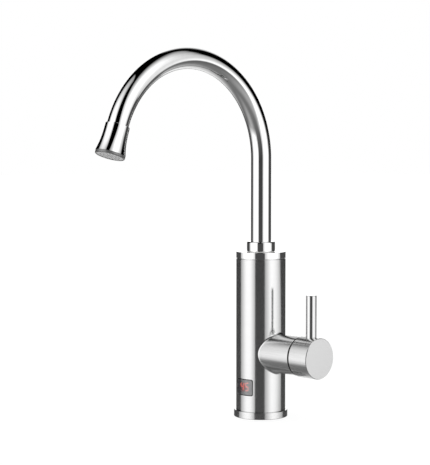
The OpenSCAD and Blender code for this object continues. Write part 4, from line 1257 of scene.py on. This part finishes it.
def stage_object(name, points, material):
    """A grid that belongs to the studio and not to the tap."""
    mesh = bpy.data.meshes.new(name)
    quads = grid_quads(*points.shape[:2]).reshape(-1, 4)
    mesh.from_pydata(points.reshape(-1, 3).tolist(), [], quads.tolist())
    mesh.shade_smooth()
    mesh.materials.append(material)
    made = bpy.data.objects.new(name, mesh)
    bpy.context.scene.collection.objects.link(made)
    return made


def emission_material(name):
    """A material with only an emission shader, and its node tree."""
    material = bpy.data.materials.new(name)
    material.use_nodes = True
    tree = material.node_tree
    tree.nodes.clear()
    glow = add_node(tree, "ShaderNodeEmission")
    add_node(tree, "ShaderNodeOutputMaterial", {"Surface": glow.outputs[0]})
    return material, tree, glow


def add_room(turn, radius=6.0):
    """Round room that only polished surfaces see: a sphere whose walls carry the soft boxes."""
    across = wheel(full_turn(64))[:, None]
    up = np.linspace(-math.pi / 2, math.pi / 2, 33)[:, None]
    points = radius * (across * np.cos(up) + [0, 0, 1] * np.sin(up))
    material, tree, glow = emission_material("studio_walls")
    tree.links.new(studio_light(tree, turn), glow.inputs["Strength"])
    room = stage_object("studio_room", points, material)
    room.location = (0, -0.05, 0.15)
    room.visible_camera = room.visible_diffuse = room.visible_shadow = False


def add_floor(reach=12.0, glow_share=0.85, grey=0.22):
    """White floor: mostly its own white, and a little light that keeps the tap's soft shadow."""
    side = np.linspace(-reach, reach, 3)
    x, y = np.meshgrid(side, side, indexing="ij")
    material, tree, glow = emission_material("floor_white")
    glow.inputs["Strength"].default_value = glow_share
    lit = add_node(tree, "ShaderNodeBsdfDiffuse", {"Color": (grey, grey, grey, 1)}).outputs[0]
    both = add_node(tree, "ShaderNodeAddShader", {0: glow.outputs[0], 1: lit}).outputs[0]
    choice = add_node(tree, "ShaderNodeMixShader", {0: seen_directly(tree), 1: lit, 2: both})
    tree.links.new(choice.outputs[0], tree.nodes["Material Output"].inputs["Surface"])
    floor = stage_object("floor", np.stack([x, y, np.zeros_like(x)], axis=-1), material)
    floor.visible_glossy = False


def add_world(fill):
    """White world: 1 where it is seen, and an even fill light on matt surfaces."""
    world = bpy.data.worlds.new("white_world")
    bpy.context.scene.world = world
    world.use_nodes = True
    tree = world.node_tree
    strength = Field(tree, seen_directly(tree)).slope(0, 1, fill, 1)
    back = tree.nodes["Background"]
    back.inputs["Color"].default_value = (1, 1, 1, 1)
    tree.links.new(strength.socket, back.inputs["Strength"])


class TAP_OT_studio(bpy.types.Operator):
    """Make the studio: camera, white floor, even light and the room that the metal reflects"""

    bl_idname = "tap.studio"
    bl_label = "Studio"

    def execute(self, context):
        studio = context.scene.tap_studio
        context.scene.view_settings.view_transform = "Standard"
        add_camera(studio)
        add_world(studio.fill)
        add_floor()
        add_room(math.pi / 2 - studio.camera_azimuth)
        return {"FINISHED"}


class TAP_PT_panel(bpy.types.Panel):
    """Sidebar panel that lists the tap's pieces"""

    bl_idname = "TAP_PT_panel"
    bl_label = "Instant Water Heater Tap"
    bl_space_type = "VIEW_3D"
    bl_region_type = "UI"
    bl_category = "Tap"

    def draw(self, context):
        for made in OPERATORS:
            self.layout.operator(made.bl_idname)
        for group in (context.scene.tap_sizes, context.scene.tap_finish, context.scene.tap_studio):
            box = self.layout.box()
            for name in group.bl_rna.properties.keys():
                if name not in ("rna_type", "name"):
                    box.prop(group, name)


OPERATORS = (TAP_OT_studio, TAP_OT_finishes, TAP_OT_base, TAP_OT_body, TAP_OT_display,
             TAP_OT_branch, TAP_OT_knob, TAP_OT_head, TAP_OT_spout, TAP_OT_nozzle,
             TAP_OT_spring)
GROUPS = {"tap_sizes": TapSizes, "tap_finish": TapFinish, "tap_studio": TapStudio}


def register():
    for made in (*GROUPS.values(), *OPERATORS, TAP_PT_panel):
        bpy.utils.register_class(made)
    for name, group in GROUPS.items():
        setattr(bpy.types.Scene, name, bpy.props.PointerProperty(type=group))


def unregister():
    for name in GROUPS:
        delattr(bpy.types.Scene, name)
    for made in reversed((*GROUPS.values(), *OPERATORS, TAP_PT_panel)):
        bpy.utils.unregister_class(made)


def main():
    """Makes everything."""
    register()
    for made in OPERATORS:
        group, name = made.bl_idname.split(".")
        getattr(getattr(bpy.ops, group), name)()


if __name__ == "__main__":
    main()
